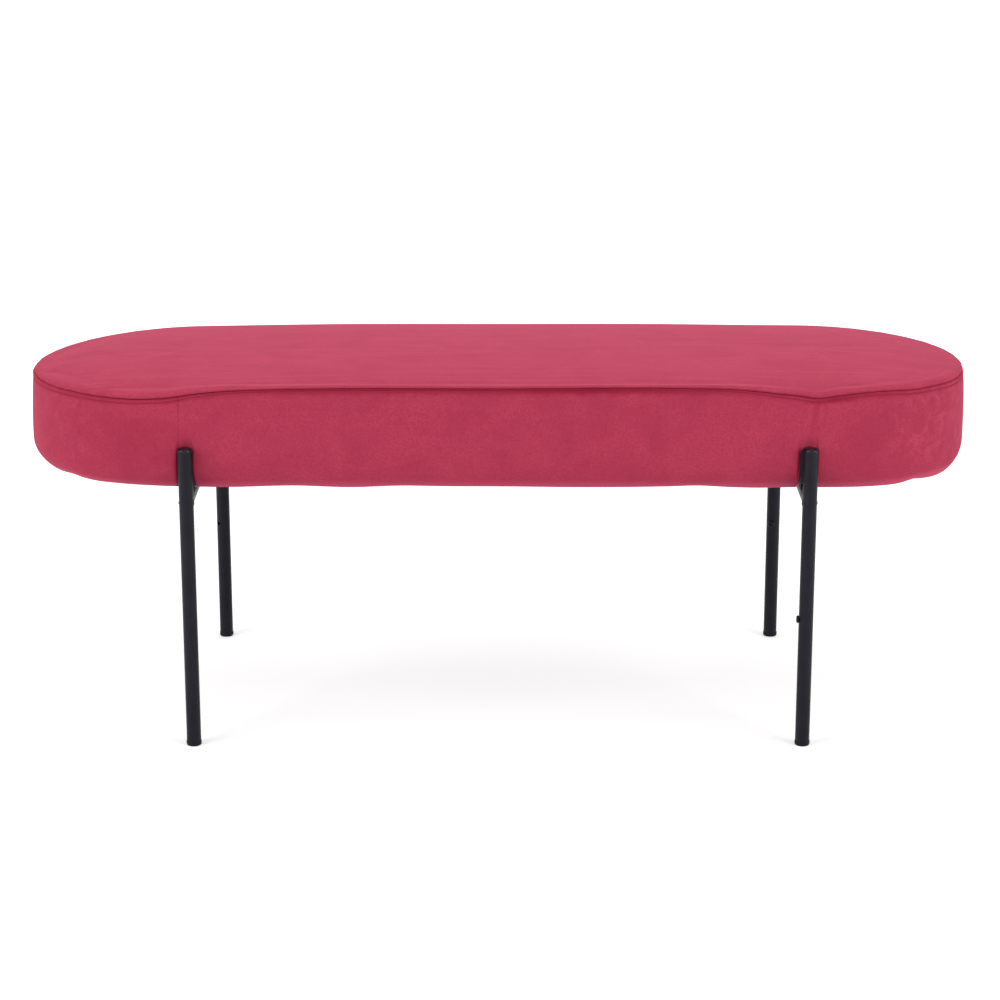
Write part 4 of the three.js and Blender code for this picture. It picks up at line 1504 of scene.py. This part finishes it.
def welds(name):
    """All the beads of one leg: beside the strap, along the tab, and around the cross tube."""
    leg, width, _, _ = upright_box(name + "_leg_tube")
    cross, _, cross_bottom, cross_top = upright_box(name.split("_")[1] + "_cross_tube")
    tab, _, tab_bottom, _ = upright_box(name + "_mounting_tab")
    strap_low, strap_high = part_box(name + "_saddle_strap")
    side = -1 if leg.y < 0 else 1
    face = side * (max(abs(strap_low.y), abs(strap_high.y)) / MM + 0.9)
    under = tab_bottom - 0.7
    near, far = (side * end for end in TAB_BEAD_ENDS)
    beads = []
    for x in (leg.x / MM - STRAP_BEAD_ASIDE, leg.x / MM + STRAP_BEAD_ASIDE):
        top = strap_high.z / MM - STRAP_BEAD_DROP
        beads.append(bead((x, face, STRAP_BEAD_LOW), (x, face, top), STRAP_BEAD))
    for x in (leg.x / MM - TAB_BEAD_ASIDE, leg.x / MM + TAB_BEAD_ASIDE):
        for first, last in ((tab.y / MM - TAB_BEAD_HALF, tab.y / MM + TAB_BEAD_HALF), (near, far)):
            beads.append(bead((x, first, under), (x, last, under), TAB_BEAD))
    beads.append(saddle_bead(leg, cross.z, width / 2, (cross_top - cross_bottom) / 2, side))
    return dressed(named(name + "_welds", joined(*beads)), powder_coat, "black_steel")


for name in STRAP_NAMES:
    welds(name)


# %% [markdown]
# ## Bolts, washers and tee nuts
# Eight M6 bolts hold the seat on the tabs, each through a washer into a tee nut in the board. One of
# each is modelled at the first place, and the others are copies with their own mesh. The thread is a
# real helix: a fine cylinder whose points move in and out with their height and turn together.

# %% One bolt set, and its copies
BOLT_FLATS = 10
BOLT_HEAD = 4
BOLT_SHANK = 6
THREAD_PITCH = 1.0
THREAD_DEPTH = 0.35
WASHER_BORE = 6.4
TEE_FLANGE = 1.5
TEE_BARREL = 8.4
TEE_PRONGS = 4
TEE_PRONG_REACH = 7.6
TEE_PRONG_LENGTH = 6
FIRST = "front_left_outer"
BOLT_PLACES = [f"{leg}_{row}" for leg in STRAP_NAMES for row in ("outer", "inner")]


def threaded(name, place, diameter, low, high):
    """An upright threaded bar."""
    rod = ringed(bar(name, ORIGIN, diameter, low, high, sides=24), round((high - low) / THREAD_PITCH * 5))
    points = points_of(rod)
    turn = np.arctan2(points[:, 1], points[:, 0]) / (2 * math.pi)
    phase = (points[:, 2] / MM / THREAD_PITCH - turn) % 1
    into = THREAD_DEPTH * (1 - np.abs(2 * phase - 1)) * MM
    length = np.hypot(points[:, 0], points[:, 1])
    points[:, :2] *= ((length - into) / np.maximum(length, 1e-9))[:, None]
    points[:, 0] += place.x
    points[:, 1] += place.y
    move_points(rod, points)
    return rod


def first_bolt():
    """A hexagon head with a round chamfer, on a threaded shank."""
    place, _, low, high = upright_box(FIRST + "_bolt")
    corner = BOLT_FLATS / math.cos(math.pi / 6)
    head = bar("hexagon_bolt", place, corner, low, low + BOLT_HEAD, sides=6)
    rounded = bar("chamfer", place, corner - 0.3, low, low + BOLT_HEAD + 1)
    bevel_where(rounded, level_ring(low), 0.9, 1)
    cut(head, rounded, "INTERSECT")
    return joined(head, threaded("shank", place, BOLT_SHANK, low + BOLT_HEAD - 0.2, high))


def first_washer():
    """A flat ring."""
    place, width, low, high = upright_box(FIRST + "_washer")
    piece = bar("washer", place, width, low, high)
    cut(piece, bar("bore", place, WASHER_BORE, low - 1, high + 1, ROUND_SIDES // 2))
    return soft_edges(piece, 0.2)


def first_tee_nut():
    """A flange with a bored barrel and four prongs."""
    place, width, low, top = upright_box(FIRST + "_tee_nut")
    piece = bar("tee_nut", place, width, top - TEE_FLANGE, top)
    cut(piece, bar("barrel", place, TEE_BARREL, low, top - TEE_FLANGE + 0.3, ROUND_SIDES // 2), "UNION")
    cut(piece, bar("bore", place, WASHER_BORE, low - 1, top + 1, ROUND_SIDES // 2))
    prongs = []
    for k in range(TEE_PRONGS):
        turn = math.tau * (k + 0.5) / TEE_PRONGS
        x = place.x + TEE_PRONG_REACH * MM * math.cos(turn)
        y = place.y + TEE_PRONG_REACH * MM * math.sin(turn)
        start_clean()
        bpy.ops.mesh.primitive_cone_add(
            vertices=4, radius1=1.7 * MM, radius2=0.2 * MM, depth=TEE_PRONG_LENGTH * MM,
            location=(x, y, (top - TEE_FLANGE - 2.9) * MM), rotation=(math.pi, 0, turn),
        )
        prongs.append(settle(named("prong")))
    return joined(piece, *prongs)


for kind, first in (("bolt", first_bolt()), ("washer", first_washer()), ("tee_nut", first_tee_nut())):
    for name in BOLT_PLACES:
        piece = duplicate(first, f"{name}_zinc_{kind}")
        piece.location = middle_of(f"{name}_{kind}") - middle_of(f"{FIRST}_{kind}")
        dressed(settle(piece), bright_zinc, "zinc_fasteners", f"{name}_{kind}")
    remove(first)


# %% [markdown]
# ## Side screws
# Two legs show a small button-head screw. The photograph doesn't show what it holds. The head is a low
# dome with a hexagon socket. It is built upright at the origin, where its edges are easy to pick, and
# then turned to its hole.

# %% Button-head screws
SCREW_HEAD = 9.5
SCREW_HEIGHT = 2.75
SCREW_SHANK = 4.4
SCREW_SOCKET = 3
SCREW_LENGTH = 9


def side_screw(name):
    """One screw, from the tube's face outward and a little way in."""
    leg, width, _, _ = upright_box(name + "_leg_tube")
    face = width / 2
    head = bar(name + "_button_screw", ORIGIN, SCREW_HEAD, face + 0.1, face + SCREW_HEIGHT + 0.3)
    bevel_where(head, level_ring(face + SCREW_HEIGHT + 0.3), 2.0, 7)
    corner = SCREW_SOCKET / math.cos(math.pi / 6)
    cut(head, bar("socket", ORIGIN, corner, face + SCREW_HEIGHT - 1.3, face + SCREW_HEIGHT + 2, sides=6))
    cut(head, bar("shank", ORIGIN, SCREW_SHANK, face + 0.3 - SCREW_LENGTH, face + 0.5, sides=32), "UNION")
    head.rotation_euler = (0, math.pi / 2, math.radians(HOLE_DIRECTIONS[name]))
    head.location = (leg.x, leg.y, SIDE_HOLE_HEIGHT * MM)
    return dressed(settle(head), powder_coat, "black_screws", name + "_side_screw")


for name in ("front_right", "rear_right"):
    side_screw(name)


# %% [markdown]
# ## Under the seat
# A black dust cover of spunbond felt closes the seat from below. It is stretched over the hem of the
# velvet and held by staples. It is one thin sheet, so it is modelled flat, sags a little between the
# staples, and has a hole for each bolt. Above it lies the board, whose CAD shape is right and only
# needs the look of plywood.

# %% Board and dust cover
LINING_REACH = 152
LINING_THICKNESS = 0.6
LINING_SAG = 0.5
LINING_PITCH = 3.2
STAPLE_PITCH = 38
STAPLE_REACH = LINING_REACH - 5
PLY = 1.36
PLY_GRAIN = 2.2
FIBRE_SIZE = 1.5


def plywood_material():
    """Birch plywood: long grain on the faces, and darker plies across the edge."""
    material, tree, place = blank_material("birch_plywood")
    along_grain = add(tree, "Mapping", {"Vector": place, "Scale": (0.06, 1, 1)})
    grain = add(tree, "TexNoise", {"Vector": along_grain, "Scale": pattern_scale(PLY_GRAIN), "Detail": 4})
    height = add(tree, "SeparateXYZ", [place]).outputs["Z"]
    plies = add(tree, "Math", [height, PLY * MM], operation="PINGPONG")
    share = add(tree, "MapRange", [plies, 0.5 * MM, 0.8 * MM, 0, 0.45])
    face = two_tones(tree, grain, 0.35, "c69c68", "d8b585")
    tone = add(tree, "Mix", [share, face, "9a7146"], data_type="RGBA")
    return finished(material, grain, 0.3, 0.1, {"Base Color": tone, "Roughness": 0.7})


def lining_material():
    """Spunbond felt: bonded fibres with a regular grid of small melted dimples."""
    material, tree, place = blank_material("black_spunbond_lining")
    fibres = add(tree, "TexNoise", {"Vector": place, "Scale": pattern_scale(FIBRE_SIZE), "Detail": 5})
    grid = {"Vector": place, "Scale": pattern_scale(LINING_PITCH), "Randomness": 0.0}
    dots = add(tree, "TexVoronoi", grid, voronoi_dimensions="2D")
    dimple = add(tree, "MapRange", [dots, 0.15, 0.35, 0, 1])
    relief = add(tree, "Math", [dimple, fibres], operation="ADD")
    tone = add(tree, "Mix", [fibres, "17171a", "26262a"], data_type="RGBA")
    look = {"Base Color": tone, "Roughness": 0.85, "Specular IOR Level": 0.3, "Sheen Weight": 0.15}
    return finished(material, relief, 0.4, 0.3, look)


plywood = plywood_material()
for slot in bpy.data.objects["base_board"].material_slots:
    slot.material = plywood
lining_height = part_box("dust_cover")[0].z / MM
lining_section = [(LINING_REACH * k / 10, lining_height) for k in range(10, -1, -1)]
lining = carried_round("spunbond_dust_cover", lining_section, end_steps=72, near_steps=4, far_steps=30)
points = points_of(lining)
reach, along, inside, outward = plan_of(points)
pulled = 1 - smooth(reach, LINING_REACH - 30, LINING_REACH - 4)
lifted = (0.5 + 0.5 * np.sin(along / STAPLE_PITCH * math.tau)) * (1 - pulled)
points[:, 2] += LINING_SAG * MM * lifted * smooth(LINING_REACH - reach, 2, 9)
points[:, 2] -= LINING_SAG * MM * pulled * (np.sin(inside / 90) * np.cos(points[:, 1] / MM / 60))
move_points(lining, points)
finish_with(lining, "SOLIDIFY", thickness=LINING_THICKNESS * MM, offset=0)
face_outwards(lining)
for name in BOLT_PLACES:
    bolt = middle_of(name + "_bolt")
    cut(lining, bar("hole", bolt, BOLT_HOLE, COVER_BOTTOM - 6, COVER_BOTTOM + 6, sides=24))
dressed(lining, lining_material(), "lining", "dust_cover")

# %% Staples
STAPLE_WIDTH = 10
STAPLE_WIRE = 1.1
STAPLE_THICKNESS = 0.55
STAPLE_DROP = 0.45
start_clean()
bpy.ops.mesh.primitive_cube_add(
    size=1, location=(STAPLE_WIDTH / 2 * MM, 0, 0),
    scale=(STAPLE_WIDTH * MM, STAPLE_WIRE * MM, STAPLE_THICKNESS * MM),
)
staples = settle(named("lining_staples"))
bevel_where(staples, lambda edge: True, 0.15, 1)
staple_row = outline_points(STAPLE_REACH, lining_height - STAPLE_DROP)
print("staples:", led_around(staples, "staple_path", staple_row, STAPLE_PITCH))
dressed(staples, bright_zinc, "zinc_fasteners")


# %% [markdown]
# ## Floor, backdrop and lamps
# The bench stood in a white studio. The floor and the world are white to the camera, and to what
# mirrors them, so that the background stays pure white, and the floor still takes the bench's soft
# shadow. The light itself comes from two broad lamps in front, left and right, and one overhead.
# Turning the lamps up until the backdrop burned out would have bleached the velvet as well.

# %% Floor and world
FLOOR_SIZE = 40
FLOOR_TONE = "f0f0f0"
WHITE = "ffffff"
FLOOR_LIFT = 0.4
FLOOR_NEAR = 0.9
FLOOR_FAR = 3.0
WORLD_LIGHT = 0.5


def seen_directly(tree):
    """1 for what the camera, a mirror or a clear body sees, 0 for light that falls on things."""
    path = add(tree, "LightPath").outputs
    seen = add(tree, "Math", [path["Is Camera Ray"], path["Is Glossy Ray"]], operation="MAXIMUM")
    return add(tree, "Math", [seen, path["Is Transmission Ray"]], operation="MAXIMUM")


def floor_material():
    """A matt floor that glows white for the camera, and less so under the bench."""
    material, tree, place = blank_material("white_studio_floor")
    away = add(tree, "VectorMath", [place], operation="LENGTH")
    near_lift = add(tree, "MapRange", [away, FLOOR_NEAR, FLOOR_FAR, FLOOR_LIFT, 1])
    lift = add(tree, "Math", [seen_directly(tree), near_lift], operation="MULTIPLY")
    look = {
        "Base Color": FLOOR_TONE, "Roughness": 1, "Specular IOR Level": 0, "Emission Color": WHITE,
        "Emission Strength": lift,
    }
    add(tree, "OutputMaterial", {"Surface": add(tree, "BsdfPrincipled", look)})
    return material


start_clean()
bpy.ops.mesh.primitive_plane_add(size=FLOOR_SIZE)
floor = named("studio_floor")
floor.data.materials.append(floor_material())

world = bpy.data.worlds.new("white_studio")
world.use_nodes = True
tree = world.node_tree
tree.nodes.clear()
strength = add(tree, "MapRange", [seen_directly(tree), 0, 1, WORLD_LIGHT, 1])
sky = add(tree, "Background", {"Color": WHITE, "Strength": strength})
add(tree, "OutputWorld", {"Surface": sky})
bpy.context.scene.world = world
print("floor and world made")

# %% Lamps
SEAT_MIDDLE = Vector((0, 0, 0.4))


def lamp(name, place, size, watts):
    """A square soft lamp that points at the middle of the seat."""
    start_clean()
    bpy.ops.object.light_add(type="AREA", location=place)
    light = bpy.context.object
    light.name = name
    light.data.size = size
    light.data.energy = watts
    light.rotation_euler = (SEAT_MIDDLE - Vector(place)).to_track_quat("-Z", "Y").to_euler()
    print(name, watts, "W")


lamp("lamp_right", (2.9, -2.1, 1.7), 2.2, 71)
lamp("lamp_left", (-2.9, -2.1, 1.7), 2.2, 77)
lamp("lamp_overhead", (0, 0.3, 3.2), 2.4, 35)
bpy.context.scene.view_settings.view_transform = "Standard"
